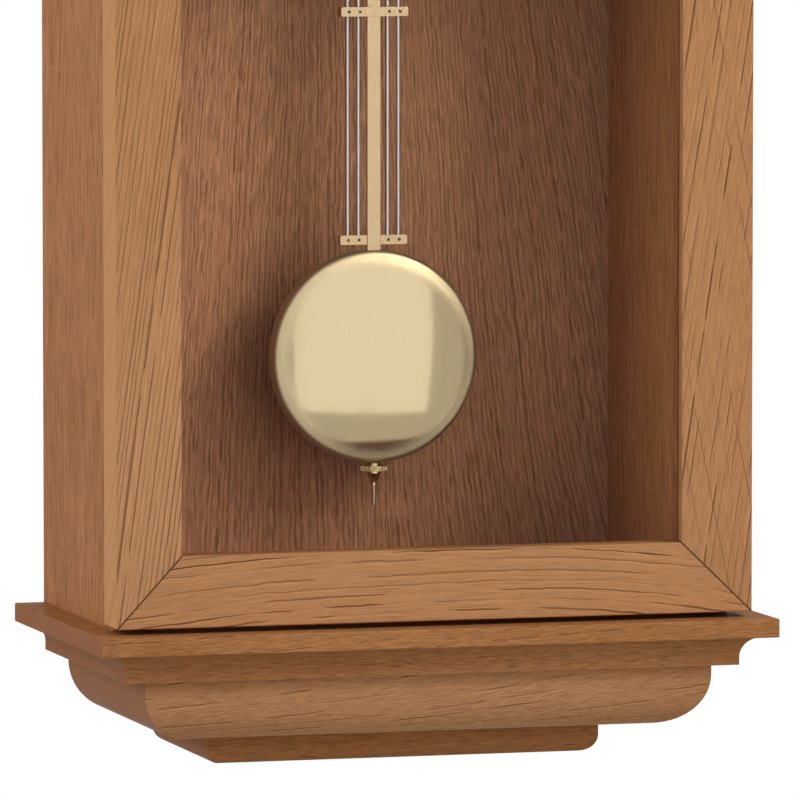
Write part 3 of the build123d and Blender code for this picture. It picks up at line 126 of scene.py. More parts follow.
DRIFT_ACROSS, DRIFT_ALONG = 16, 5
RIPPLE_ACROSS, RIPPLE_ALONG = 140, 80
RIPPLE_SHARE = 0.14
TONE_ALONG = 3
TONE_LEVELS = (0.3, 0.7)
RING_SHIFT = (0.45, 4, 1.5)
RING_UNEVEN = 1.6
LINE_CREST = 0.3
DASH_ACROSS, DASH_DEEP = 1.3, 30
DASH_EASE = 0.16
DASH_TAPER = 0.4
FAINTEST_LINE = 0.35
LIP_HIGHLIGHT_START, LIP_HIGHLIGHT_END = 0.7, 2.4
LIP_HIGHLIGHT = 0.14
RAY_LEAN = 0.34
RAY_GAP = 1.7
FIBRE_DEEP = 0.3
FIBRE_RELIEF = 0.35
HAIR_FINE, HAIR_LONG = 1.9, 0.7
PORE_LEVELS = (0.54, 0.68)
GLEAM_LEVELS = (0.30, 0.44)
PORE_SHARE = 0.55
GLEAM_LIGHT = 0.14
EVEN_LIGHT = 0.53
OPEN_LEVELS = (0.0, 0.8)
SATIN_ROUGH, OPEN_ROUGH = 0.42, 0.68


def build_oak_grain():
    """Oak that grew along the Z axis of the coordinates: thin broken lines where the growth rings
    meet the face, fibres and hair-fine pores between them, and faint rays crossing at a slant."""
    tree, given, made = new_group(
        "oak grain",
        [
            ("Grain", "Vector", None),
            ("Ring Gap", "Float", 0.005),
            ("Wander", "Float", 0.006),
            ("Spread", "Float", 0.0),
            ("Bow", "Float", 0.0),
            ("Line Width", "Float", 0.0008),
            ("Line Length", "Float", 0.04),
            ("Line Level", "Float", 0.5),
            ("Line Strength", "Float", 0.6),
            ("Fibre Width", "Float", 0.0008),
            ("Fibre Length", "Float", 0.02),
            ("Fibre Strength", "Float", 0.3),
            ("Ray Strength", "Float", 0.0),
            ("Wood", "Color", (0.4, 0.2, 0.1, 1)),
            ("Shade", "Color", (0.3, 0.14, 0.06, 1)),
            ("Pore", "Color", (0.14, 0.06, 0.02, 1)),
        ],
        [("Color", "Color"), ("Roughness", "Float"), ("Height", "Float")],
    )

    def times(first, second):
        return sum_of(tree, "MULTIPLY", first, second)

    def over(first, second):
        return sum_of(tree, "DIVIDE", first, second)

    place = put(tree, "SeparateXYZ", {0: given["Grain"]}).outputs
    slow = [times(place[0], DRIFT_ACROSS), times(place[1], DRIFT_ACROSS)]
    drift = stretched_noise(tree, *slow, times(place[2], DRIFT_ALONG), detail=1.5)
    quick = [times(place[0], RIPPLE_ACROSS), times(place[1], RIPPLE_ACROSS)]
    ripple = stretched_noise(tree, *quick, times(place[2], RIPPLE_ALONG), detail=1.0)
    both = sum_of(tree, "MULTIPLY_ADD", ripple, RIPPLE_SHARE, drift)
    bend = sum_of(tree, "SUBTRACT", both, 0.5 + RIPPLE_SHARE / 2)
    fan = sum_of(tree, "MULTIPLY_ADD", place[2], given["Spread"], 1.0)
    sideways = times(sum_of(tree, "MULTIPLY_ADD", bend, given["Wander"], place[0]), fan)
    arched = times(times(place[2], place[2]), given["Bow"])
    sideways = sum_of(tree, "ADD", sideways, arched)
    depth_square = times(place[1], place[1])
    radius = sum_of(tree, "SQRT", sum_of(tree, "MULTIPLY_ADD", sideways, sideways, depth_square))

    def open_lines(spot, gap):
        """Thin dashes with tapered ends on evenly counted lines, and a pale painted highlight along the
        raised rim beside each.
        """
        even = over(spot, gap)
        shift = [times(way, part) for way, part in zip((even, place[1], place[2]), RING_SHIFT)]
        uneven = stretched_noise(tree, *shift, detail=0.0)
        rings = sum_of(tree, "MULTIPLY_ADD", uneven, RING_UNEVEN, even)
        count = sum_of(tree, "FLOOR", rings)
        each = put(tree, "TexWhiteNoise", {"W": count}, noise_dimensions="1D").outputs[0]
        season = sum_of(tree, "FRACT", rings)
        width = over(given["Line Width"], gap)
        crest = times(width, LINE_CREST)
        line = times(ramp(tree, season, 0.0, crest), ramp(tree, season, crest, width, 1.0, 0.0))
        along_line = over(place[2], given["Line Length"])
        spread = [times(rings, DASH_ACROSS), times(place[1], DASH_DEEP)]
        dash = stretched_noise(tree, *spread, along_line, detail=2.0)
        full = sum_of(tree, "ADD", given["Line Level"], DASH_EASE)
        kept = ramp(tree, dash, given["Line Level"], full)
        tapered = sum_of(tree, "SUBTRACT", sum_of(tree, "ADD", line, kept), 1.0)
        strength = ramp(tree, each, 0.0, 1.0, FAINTEST_LINE, 1.0)
        mark = times(ramp(tree, tapered, 0.0, DASH_TAPER), strength)
        rise = ramp(tree, season, times(width, LIP_HIGHLIGHT_START), width)
        fall = ramp(tree, season, width, times(width, LIP_HIGHLIGHT_END), 1.0, 0.0)
        return mark, times(times(rise, fall), kept)

    mark, lip_highlight = open_lines(radius, given["Ring Gap"])
    leaning = sum_of(tree, "MULTIPLY_ADD", place[2], RAY_LEAN, sideways)
    ray = open_lines(leaning, times(given["Ring Gap"], RAY_GAP))[0]
    across = over(sideways, given["Fibre Width"])
    through = times(over(place[1], given["Fibre Width"]), FIBRE_DEEP)
    along = over(place[2], given["Fibre Length"])
    fibre = stretched_noise(tree, across, through, along, detail=2.5)
    fine = [times(across, HAIR_FINE), times(through, HAIR_FINE)]
    hair = stretched_noise(tree, *fine, times(along, HAIR_LONG), detail=1.0)
    pore = ramp(tree, hair, *PORE_LEVELS)
    gleam = ramp(tree, hair, *GLEAM_LEVELS, 1.0, 0.0)
    ray_share = times(ray, given["Ray Strength"])
    tone = stretched_noise(tree, *slow, times(place[2], TONE_ALONG), detail=3.0)

    colour = blend_colour(tree, ramp(tree, tone, *TONE_LEVELS), given["Wood"], given["Shade"])
    line_share = times(mark, given["Line Strength"])
    pore_share = times(times(pore, given["Fibre Strength"]), PORE_SHARE)
    for share in (ray_share, pore_share, line_share):
        colour = blend_colour(tree, share, colour, given["Pore"])
    light = sum_of(tree, "MULTIPLY_ADD", gleam, GLEAM_LIGHT, fibre)
    light = sum_of(tree, "SUBTRACT", light, EVEN_LIGHT)
    light = sum_of(tree, "MULTIPLY_ADD", light, given["Fibre Strength"], 1.0)
    # Painted highlight: a pale band beside each dark line stands for light catching the raised rim of the
    # grain.
    light = sum_of(tree, "MULTIPLY_ADD", times(lip_highlight, given["Line Strength"]), LIP_HIGHLIGHT, light)
    lit = put(tree, "VectorMath", {0: colour, "Scale": light}, operation="SCALE").outputs[0]
    open_grain = sum_of(tree, "MAXIMUM", line_share, pore_share)
    tree.links.new(lit, made["Color"])
    rough = ramp(tree, open_grain, *OPEN_LEVELS, SATIN_ROUGH, OPEN_ROUGH)
    tree.links.new(rough, made["Roughness"])
    relief = sum_of(tree, "MULTIPLY_ADD", fibre, FIBRE_RELIEF, times(open_grain, -1.0))
    tree.links.new(relief, made["Height"])
    return tree


EDGE_LEVELS = (0.80, 0.995)


def build_worn_highlit_edge():
    """Mask of the corners, rubbed pale by handling and sanding and partly a painted highlight along the
    arris, and the eased normal there.
    """
    tree, given, made = new_group(
        "worn highlit edge", [("Radius", "Float", 0.0008)], [("Mask", "Float"), ("Normal", "Vector")]
    )
    eased = put(tree, "Bevel", {"Radius": given["Radius"]}, samples=6).outputs[0]
    flat = put(tree, "NewGeometry").outputs["True Normal"]
    alike = put(tree, "VectorMath", {0: eased, 1: flat}, operation="DOT_PRODUCT").outputs["Value"]
    tree.links.new(ramp(tree, alike, *EDGE_LEVELS, 1.0, 0.0), made["Mask"])
    tree.links.new(eased, made["Normal"])
    return tree


oak_grain = build_oak_grain()
worn_highlit_edge = build_worn_highlit_edge()
EASED_EDGE = 0.0010
WORN_PALE_HIGHLIGHT = 1.3
WORN_HIGHLIGHT_SHARE = 0.7
OILED_SPECULAR = 0.005
OAK_BUMP, OAK_RELIEF = 0.5, 0.0003
END_LEVELS = (0.4, 0.7)
END_SHARE = 0.85


def new_material(name):
    """Empty finish with its tree and its Principled surface."""
    material = bpy.data.materials.new(name)
    material.use_nodes = True
    tree = material.node_tree
    return material, tree, tree.nodes["Principled BSDF"]


def oak_finish(name, turn, pith, figure, joint=None, end_wood=None):
    """Satin oak. The turn, in degrees, brings the grain upright and pith moves the heart of the log.
    Faces across the grain take the end wood's plain tone where one is given."""
    material, tree, surface = new_material(name)
    place = put(tree, "TexCoord").outputs["Object"]
    angles = [math.radians(angle) for angle in turn]
    grain = put(tree, "Mapping", {"Vector": place, "Location": pith, "Rotation": angles}).outputs[0]
    wood = put(tree, "Group", {"Grain": grain}, node_tree=oak_grain)
    for label, value in figure.items():
        wood.inputs[label].default_value = value
    colour = wood.outputs["Color"]
    if end_wood:
        flat = put(tree, "NewGeometry").outputs["True Normal"]
        turned = {"vector_type": "NORMAL", "convert_from": "WORLD", "convert_to": "OBJECT"}
        flat = put(tree, "VectorTransform", {0: flat}, **turned).outputs[0]
        facing = put(tree, "SeparateXYZ", {0: flat}).outputs[0]
        ends = ramp(tree, sum_of(tree, "ABSOLUTE", facing), *END_LEVELS, 0.0, END_SHARE)
        colour = blend_colour(tree, ends, colour, end_wood)
    edges = put(tree, "Group", {"Radius": EASED_EDGE}, node_tree=worn_highlit_edge).outputs
    # Corners are mixed towards a paler wood: partly wear, partly a painted highlight where light would catch
    # the eased arris.
    pale = [WORN_PALE_HIGHLIGHT * part for part in figure["Wood"][:3]] + [1]
    worn_highlight = sum_of(tree, "MULTIPLY", edges["Mask"], WORN_HIGHLIGHT_SHARE)
    colour = blend_colour(tree, worn_highlight, colour, pale)
    if joint:
        colour = put(tree, "Group", {"Color": colour, "Place": place}, node_tree=joint).outputs["Color"]
    tree.links.new(colour, surface.inputs["Base Color"])
    tree.links.new(wood.outputs["Roughness"], surface.inputs["Roughness"])
    surface.inputs["Specular IOR Level"].default_value = OILED_SPECULAR
    sockets = {"Strength": OAK_BUMP, "Distance": OAK_RELIEF}
    sockets.update({"Height": wood.outputs["Height"], "Normal": edges["Normal"]})
    tree.links.new(put(tree, "Bump", sockets).outputs[0], surface.inputs["Normal"])
    return material


def dress(material, *names):
    """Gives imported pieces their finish."""
    for name in names:
        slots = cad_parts[name].data.materials
        slots.clear()
        slots.append(material)


panel_figure = {
    "Ring Gap": 0.0023,
    "Wander": 0.014,
    "Spread": 1.0,
    "Line Width": 0.0013,
    "Line Length": 0.013,
    "Line Level": 0.36,
    "Line Strength": 0.62,
    "Fibre Width": 0.0005,
    "Fibre Length": 0.008,
    "Fibre Strength": 1.25,
    "Wood": PANEL_WOOD,
    "Shade": PANEL_SHADE,
    "Pore": PANEL_PORE,
}
panel_oak = oak_finish("panel_oak", turn=(0, 0, 0), pith=(0.020, 0.007, 0.35), figure=panel_figure)
dress(panel_oak, "back_panel")

# Sides: two solid oak boards that carry everything else, planed and oiled.
# They are cut on the quarter, so the faces show fine upright lines with no strong figure.
# The right board is a brighter, warmer copy of the same oak, as painted bounce light on its inner face.
SIDE_WOOD = (0.420, 0.188, 0.080, 1)
SIDE_SHADE = (0.375, 0.160, 0.066, 1)
SIDE_PORE = (0.170, 0.062, 0.022, 1)
# Painted bounce light: the right side's colours are raised above the left's to light its inner face.
RIGHT_LIT_WOOD = (0.570, 0.258, 0.080, 1)
RIGHT_LIT_SHADE = (0.500, 0.218, 0.066, 1)
SIDE_TURN = (0.4, 0, 0)
LEFT_PITH, RIGHT_PITH = (0.0, 0.9, 0.1), (0.0, -0.7, 0.1)
side_figure = {
    "Ring Gap": 0.0026,
    "Wander": 0.004,
    "Line Width": 0.0007,
    "Line Length": 0.016,
    "Line Level": 0.50,
    "Line Strength": 0.42,
    "Fibre Width": 0.0004,
    "Fibre Length": 0.028,
    "Fibre Strength": 1.1,
    "Wood": SIDE_WOOD,
    "Shade": SIDE_SHADE,
    "Pore": SIDE_PORE,
}
right_lit_figure = dict(side_figure, Wood=RIGHT_LIT_WOOD, Shade=RIGHT_LIT_SHADE)
for side, pith, figure in (("left", LEFT_PITH, side_figure), ("right", RIGHT_PITH, right_lit_figure)):
    dress(oak_finish("side_oak_" + side, SIDE_TURN, pith, figure), "side_panel_" + side)

# Base: four oak mouldings glued under the case, each worked along its front and both ends.
# The grain runs across the clock, so the fronts show long dashes and the ends close end grain.
# The crown above repeats the slab and the cove upside down under a plain cap.
BASE_WOOD = (0.470, 0.216, 0.086, 1)
BASE_SHADE = (0.395, 0.170, 0.062, 1)
BASE_PORE = (0.150, 0.058, 0.020, 1)
BASE_END = (0.275, 0.114, 0.056, 1)
ACROSS = -90
PITH_DEEP, PITH_ALONG = 0.8, 0.3
plain_moulding = {
    "Ring Gap": 0.0038,
    "Wander": 0.010,
    "Line Width": 0.0008,
    "Line Length": 0.010,
    "Line Level": 0.45,
    "Line Strength": 0.5,
    "Fibre Width": 0.0004,
    "Fibre Length": 0.006,
    "Fibre Strength": 0.95,
    "Wood": BASE_WOOD,
    "Shade": BASE_SHADE,
    "Pore": BASE_PORE,
}
OVOLO_WOOD = (0.560, 0.283, 0.128, 1)
OVOLO_SHADE = (0.480, 0.227, 0.096, 1)
long_lines = {"Ring Gap": 0.0054, "Line Length": 0.034, "Line Level": 0.46, "Line Strength": 0.95}
lighter = {"Wood": OVOLO_WOOD, "Shade": OVOLO_SHADE, "Fibre Strength": 0.7}
figured_moulding = dict(plain_moulding, **long_lines, **lighter)
mouldings = {
    "base_slab": (plain_moulding, 3.0, 0.42),
    "base_cove": (plain_moulding, 1.0, 0.46),
    "base_ovolo": (figured_moulding, 7.0, 0.50),
    "base_foot": (plain_moulding, 2.0, 0.54),
    "crown_slab": (plain_moulding, -2.0, 1.02),
    "crown_cove": (plain_moulding, 1.5, 1.06),
    "crown_cap": (plain_moulding, 5.0, 1.10),
}
for name, (figure, slant, heart) in mouldings.items():
    pith = (heart, PITH_DEEP, PITH_ALONG * heart)
    dress(oak_finish("oak_" + name, (0, ACROSS + slant, 0), pith, figure, end_wood=BASE_END), name)

# Hanger and back screws: a pressed steel plate with a keyhole, let into the back panel,
# and slotted countersunk wood screws, all zinc plated and left bright.
STEEL = (0.50, 0.50, 0.50, 1)
STEEL_DULL = (0.36, 0.36, 0.37, 1)
BRUSHED_ALONG = 40
FILM_PATCHES = 45.0
FILM_LEVELS = (0.35, 0.75)
FILM_ROUGH = 0.18
METAL_EDGE = 0.0002
METAL_BUMP, METAL_RELIEF = 0.15, 0.0001


def build_metal_polish():
    """Fine lines left by drawing or brushing along Z, with a cloudy film over the bare metal."""
    tree, given, made = new_group(
        "metal polish",
        [
            ("Place", "Vector", None),
            ("Clean", "Color", (0.6, 0.5, 0.3, 1)),
            ("Film", "Color", (0.4, 0.3, 0.2, 1)),
            ("Film Amount", "Float", 0.3),
            ("Shine", "Float", 0.2),
            ("Line Width", "Float", 0.0002),
            ("Line Strength", "Float", 0.1),
        ],
        [("Color", "Color"), ("Roughness", "Float"), ("Height", "Float")],
    )
    place = put(tree, "SeparateXYZ", {0: given["Place"]}).outputs
    across = [sum_of(tree, "DIVIDE", place[axis], given["Line Width"]) for axis in (0, 1)]
    along = sum_of(tree, "MULTIPLY", place[2], BRUSHED_ALONG)
    lines = sum_of(tree, "SUBTRACT", stretched_noise(tree, *across, along, detail=2.0), 0.5)
    sockets = {"Vector": given["Place"], "Scale": FILM_PATCHES, "Detail": 4.0}
    cloud = put(tree, "TexNoise", sockets).outputs[0]
    film = sum_of(tree, "MULTIPLY", ramp(tree, cloud, *FILM_LEVELS), given["Film Amount"])
    tree.links.new(blend_colour(tree, film, given["Clean"], given["Film"]), made["Color"])
    rough = sum_of(tree, "MULTIPLY_ADD", film, FILM_ROUGH, given["Shine"])
    line_rough = sum_of(tree, "MULTIPLY", lines, given["Line Strength"])
    tree.links.new(sum_of(tree, "ADD", rough, line_rough), made["Roughness"])
    tree.links.new(line_rough, made["Height"])
    return tree


metal_polish = build_metal_polish()


def metal_finish(name, clean, film, shine, film_amount=0.3, lines=0.12, line_width=0.00025, turn=(0, 0, 0)):
    """Bare or lacquered metal, brushed along the axis that the turn, in degrees, brings upright."""
    material, tree, surface = new_material(name)
    place = put(tree, "TexCoord").outputs["Object"]
    angles = [math.radians(angle) for angle in turn]
    place = put(tree, "Mapping", {"Vector": place, "Rotation": angles}).outputs[0]
    sockets = {"Place": place, "Clean": clean, "Film": film, "Film Amount": film_amount}
    sockets.update({"Shine": shine, "Line Width": line_width, "Line Strength": lines})
    metal = put(tree, "Group", sockets, node_tree=metal_polish).outputs
    edges = put(tree, "Group", {"Radius": METAL_EDGE}, node_tree=worn_highlit_edge).outputs
    tree.links.new(metal["Color"], surface.inputs["Base Color"])
    tree.links.new(metal["Roughness"], surface.inputs["Roughness"])
    surface.inputs["Metallic"].default_value = 1.0
    sockets = {"Strength": METAL_BUMP, "Distance": METAL_RELIEF}
    sockets.update({"Height": metal["Height"], "Normal": edges["Normal"]})
    tree.links.new(put(tree, "Bump", sockets).outputs[0], surface.inputs["Normal"])
    return material


zinc_steel = metal_finish("zinc_steel", STEEL, STEEL_DULL, shine=0.34, film_amount=0.6)
dress(zinc_steel, "hanger_plate", "back_screws")

# Door frame: two stiles and two rails of solid oak with a face that slopes in towards the glass.
# The corners are mitred and glued; their hair-thin gaps are drawn as thin dark lines of painted shade.
# Stiles have upright grain, rails have grain running across, and the right stile shows crossing rays.
DOOR_WOOD = (0.545, 0.280, 0.134, 1)
DOOR_SHADE = (0.465, 0.225, 0.099, 1)
DOOR_PORE = (0.115, 0.042, 0.012, 1)
DEEP_WOOD = (0.495, 0.246, 0.112, 1)
DOOR_EDGE = (0.540, 0.270, 0.120, 1)
JOINT_SHADE = (0.120, 0.050, 0.020, 1)
JOINT_HALF_WIDTH = 0.00042
JOINT_CORE, JOINT_FADE = 0.4 * JOINT_HALF_WIDTH, 2.2 * JOINT_HALF_WIDTH
JOINT_SHARE = 0.85
door_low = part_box("door_rail_bottom")[0]
door_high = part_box("door_rail_top")[1]


def build_mitre_shade():
    """Darkens the wood within a hair of the four corner joints as painted shade of the joint gaps, found
    from the door's outer edges.
    """
    tree, given, made = new_group(
        "mitre shade", [("Color", "Color", (1, 1, 1, 1)), ("Place", "Vector", None)], [("Color", "Color")]
    )
    place = put(tree, "SeparateXYZ", {0: given["Place"]}).outputs
    from_side = sum_of(tree, "SUBTRACT", door_high.x, sum_of(tree, "ABSOLUTE", place[0]))
    from_foot = sum_of(tree, "SUBTRACT", place[2], door_low.z)
    from_top = sum_of(tree, "SUBTRACT", door_high.z, place[2])
    from_end = sum_of(tree, "MINIMUM", from_foot, from_top)
    off = sum_of(tree, "ABSOLUTE", sum_of(tree, "SUBTRACT", from_side, from_end))
    # Painted shade: darkest on the joint line, fading within a hair of it.
    joint_shade = ramp(tree, off, JOINT_CORE, JOINT_FADE, JOINT_SHARE, 0.0)
    tree.links.new(blend_colour(tree, joint_shade, given["Color"], JOINT_SHADE), made["Color"])
    return tree


mitre_shade = build_mitre_shade()
stile_figure = {
    "Ring Gap": 0.0026,
    "Wander": 0.003,
    "Line Width": 0.0009,
    "Line Length": 0.032,
    "Line Level": 0.31,
    "Line Strength": 0.62,
    "Fibre Width": 0.0005,
    "Fibre Length": 0.012,
    "Fibre Strength": 0.45,
    "Wood": DOOR_WOOD,
    "Shade": DOOR_SHADE,
    "Pore": DOOR_PORE,
}
wide_rings = {
    "Ring Gap": 0.0054,
    "Line Length": 0.050,
    "Line Level": 0.40,
    "Line Width": 0.0012,
    "Line Strength": 1.0,
    "Wood": DEEP_WOOD,
}
rail_figure = {**stile_figure, **wide_rings, "Wander": 0.012, "Bow": -0.45}
close_rings = {
    "Ring Gap": 0.0040,
    "Line Length": 0.034,
    "Line Level": 0.40,
    "Line Width": 0.0010,
    "Line Strength": 0.80,
}
crossed_figure = {**stile_figure, **wide_rings, **close_rings, "Ray Strength": 0.45}
members = {
    "door_stile_left": (stile_figure, (0.5, -8.0, 0), (0.75, 0.02, 0.0)),
    "door_stile_right": (crossed_figure, (2.0, -8.5, 0), (-0.43, 0.16, 0.0)),
    "door_rail_bottom": (rail_figure, (0, ACROSS + 0.5, 0), (-0.42, 0.12, 0.02)),
    "door_rail_top": (rail_figure, (0, ACROSS - 3.0, 0), (0.20, 0.14, 0.30)),
}
for name, (figure, turn, pith) in members.items():
    dress(oak_finish("oak_" + name, turn, pith, figure, joint=mitre_shade, end_wood=DOOR_EDGE), name)

# Glazing: a sheet of clear non-reflecting glass in the door's rebate, held by four oak beads.
# It has the faint green of float glass, and a film of dust dulls its shine in patches.
GLASS_TINT = (0.985, 0.995, 0.990, 1)
COATED_IOR = 1.10
DUST_PATCHES = 9.0
DUST_LEVELS = (0.45, 0.8)
DUST_ROUGH = 0.03
glass, tree, surface = new_material("door_glass_clear")
surface.inputs["Base Color"].default_value = GLASS_TINT
surface.inputs["Transmission Weight"].default_value = 1.0
surface.inputs["IOR"].default_value = COATED_IOR
dust = put(tree, "TexNoise", {"Scale": DUST_PATCHES, "Detail": 3.0}).outputs[0]
tree.links.new(ramp(tree, dust, *DUST_LEVELS, 0.0, DUST_ROUGH), surface.inputs["Roughness"])
light_path = put(tree, "LightPath").outputs
open_air = put(tree, "BsdfTransparent").outputs[0]
unbent = sum_of(tree, "MAXIMUM", light_path["Is Shadow Ray"], light_path["Is Diffuse Ray"])
passing = put(tree, "MixShader", {0: unbent, 1: surface.outputs[0], 2: open_air})
tree.links.new(passing.outputs[0], tree.nodes["Material Output"].inputs["Surface"])
dress(glass, "door_glass")
bead_figure = dict(side_figure, Wood=SIDE_SHADE)
bead_oak = oak_finish("oak_glass_beads", turn=(0, 1.0, 0), pith=(0.3, 0.2, 0.0), figure=bead_figure)
dress(bead_oak, "glass_beads")

# Door furniture: a turned brass knob, a steel strike plate and its magnet, and two brass butt hinges
# whose leaves are screwed into mortises with slotted brass screws.
BRASS = (0.46, 0.335, 0.165, 1)
BRASS_FILM = (0.36, 0.255, 0.120, 1)
bright_brass = metal_finish("bright_brass", BRASS, BRASS_FILM, shine=0.14, film_amount=0.35)
dress(bright_brass, "door_knob")
satin_brass = metal_finish("satin_brass", BRASS, BRASS_FILM, shine=0.32, film_amount=0.5)
dress(satin_brass, "hinge_case_leaves", "hinge_door_leaves", "hinge_pins")
dress(zinc_steel, "door_strike_plate", "door_magnet")

# Seat: a planed softwood board that carries the movement, on two cleats glued to the sides.
# Two steel bolts pass up through it into the movement.
PINE = (0.52, 0.33, 0.17, 1)
PINE_SHADE = (0.45, 0.27, 0.13, 1)
FORWARD = (90, 0, 0)
seat_figure = dict(side_figure, Wood=PINE, Shade=PINE_SHADE)
seat_pine = oak_finish("seat_pine", turn=(0, ACROSS, 0), pith=(0.4, 0.3, 0.0), figure=seat_figure)
dress(seat_pine, "seat_board")
cleat_pine = oak_finish("cleat_pine", turn=FORWARD, pith=(0.1, 0.5, 0.0), figure=seat_figure)
dress(cleat_pine, "seat_cleats")
dress(zinc_steel, "seat_bolts")

# Movement frame: two rolled brass plates with drilled pivot holes, kept apart by four turned pillars.
# Blued steel screws hold the plates to the pillars and the suspension cock to the back plate.
BLUE = (0.10, 0.11, 0.16, 1)
BLUE_DULL = (0.07, 0.07, 0.10, 1)
plate_brass = metal_finish("plate_brass", BRASS, BRASS_FILM, shine=0.26, film_amount=0.55, lines=0.2)
dress(plate_brass, "front_plate", "back_plate", "pillars", "suspension_cock")
blued_steel = metal_finish("blued_steel", BLUE, BLUE_DULL, shine=0.25)
dress(blued_steel, "movement_screws")

# Wheelwork: brass wheels, each with its arbor and pinion, and the brass spring barrel.
# The barrel's arbor, ratchet and click, the cannon pinion and the anchor with its crutch are polished steel.
wheel_brass = metal_finish("wheel_brass", BRASS, BRASS_FILM, shine=0.20, film_amount=0.4, turn=FORWARD)
dress(wheel_brass, "centre_arbor", "third_arbor", "escape_arbor", "intermediate_arbor")
dress(wheel_brass, "minute_wheel", "hour_wheel", "barrel_drum", "barrel_cap")
polished_steel = metal_finish("polished_steel", STEEL, STEEL_DULL, shine=0.22, turn=FORWARD)
dress(polished_steel, "cannon_pinion", "barrel_arbor", "ratchet_wheel", "click", "anchor", "crutch")
dress(blued_steel, "mainspring", "suspension_spring")

# Click spring: a strip of blued spring steel with a round foot that is riveted to the front plate.
# Its free end leans on the back of the click and bends away with it when the click lifts; the strip is cut
# across at even steps.
SPRING_FOOT_R = 0.0022
SPRING_CUTS = 12
SPRING_WELD = 0.000001
dress(blued_steel, "click_spring")
spring_low, spring_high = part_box("click_spring")
spring_tip = Vector(spring_low)
spring_foot = Vector((spring_high.x - SPRING_FOOT_R, spring_low.y, spring_high.z - SPRING_FOOT_R))
leaf = spring_tip - spring_foot
made = bmesh.new()
made.from_mesh(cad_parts["click_spring"].data)
bmesh.ops.remove_doubles(made, verts=made.verts, dist=SPRING_WELD)
for cut in range(1, SPRING_CUTS):
    whole = made.verts[:] + made.edges[:] + made.faces[:]
    spot = spring_foot + leaf * (cut / SPRING_CUTS)
    bmesh.ops.bisect_plane(made, geom=whole, plane_co=spot, plane_no=leaf)
spring_mesh = bpy.data.meshes.new("click_leaf_spring")
made.to_mesh(spring_mesh)
made.free()
spring_mesh.materials.append(blued_steel)
leaf_spring = bpy.data.objects.new("click_leaf_spring", spring_mesh)
bpy.context.scene.collection.objects.link(leaf_spring)
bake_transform(leaf_spring)
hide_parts("click_spring")

# Dial: a brass sheet sprayed with cream lacquer, printed with black numerals and a minute track.
# A rolled brass bezel covers its edge and a pressed eyelet lines the winding hole.
DIAL_CREAM = (0.80, 0.76, 0.66, 1)
DIAL_AGED = (0.72, 0.66, 0.53, 1)
MOTTLE_LEVELS = (0.4, 0.75)
DULL_LEVELS = (0.3, 0.8)
MOTTLE_ROUGH = 0.12
PEEL_SPOTS = 900.0
PEEL_BUMP, PEEL_RELIEF = 0.08, 0.0001
INK = (0.012, 0.011, 0.010, 1)
INK_HEIGHT = 0.00008
INK_WORN = (0.02, 0.018, 0.016, 1)
NUMERAL_OUT = 0.0790
NUMERAL_H = 0.0205
LETTER_W = {"I": 0.0052, "V": 0.0112, "X": 0.0112}
STEM_IN = 0.0022
THICK = 0.0030
THIN = 0.0009
V_THICK_SHIFT, V_THIN_SHIFT = -0.0002, 0.0012
SERIF_H = 0.0007
STEM_FOOT, THICK_FOOT, THIN_FOOT = 0.0023, 0.0022, 0.0019
TRACK_IN, TRACK_OUT = 0.0868, 0.0908
RING_W = 0.0005
HOUR_MARK, MINUTE_MARK = 0.0011, 0.00035
bezel_low, bezel_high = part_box("dial_bezel")
hub = (bezel_low + bezel_high) / 2
hub.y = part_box("dial_plate")[0].y


def lacquer_finish(name, clean, aged, rough, spots=60.0):
    """Sprayed lacquer with a slight mottle."""
    material, tree, surface = new_material(name)
    place = put(tree, "TexCoord").outputs["Object"]
    mottle = put(tree, "TexNoise", {"Vector": place, "Scale": spots, "Detail": 5.0}).outputs[0]
    colour = blend_colour(tree, ramp(tree, mottle, *MOTTLE_LEVELS), clean, aged)
    tree.links.new(colour, surface.inputs["Base Color"])
    dull = ramp(tree, mottle, *DULL_LEVELS, rough, rough + MOTTLE_ROUGH)
    tree.links.new(dull, surface.inputs["Roughness"])
    peel = put(tree, "TexNoise", {"Vector": place, "Scale": PEEL_SPOTS, "Detail": 1.0}).outputs[0]
    bump = put(tree, "Bump", {"Strength": PEEL_BUMP, "Distance": PEEL_RELIEF, "Height": peel})
    tree.links.new(bump.outputs[0], surface.inputs["Normal"])
    return material


def add_piece(name, build, material, body):
    """Makes a mesh piece, gives it its finish and lets it ride on a body of the clock."""
    made = bmesh.new()
    build(made)
    bmesh.ops.recalc_face_normals(made, faces=made.faces)
    mesh = bpy.data.meshes.new(name)
    made.to_mesh(mesh)
    made.free()
    piece = bpy.data.objects.new(name, mesh)
    bpy.context.scene.collection.objects.link(piece)
    mesh.materials.append(material)
    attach(piece, body)
    return piece


def print_shape(made, points, turn):
    """Flat printed shape: points (right, up) from the dial's middle, turned clockwise, as thick as ink."""
    cos, sin = math.cos(turn), math.sin(turn)
    rows = []
    for height in (0.0, INK_HEIGHT):
        row = [
            made.verts.new((hub.x + u * cos + v * sin, hub.y - height, hub.z + v * cos - u * sin))
            for u, v in points
        ]
        rows.append(row)
    count = len(points)
    made.faces.new(rows[0])
    made.faces.new(rows[1])
    for i in range(count):
        j = (i + 1) % count
        made.faces.new((rows[0][i], rows[0][j], rows[1][j], rows[1][i]))


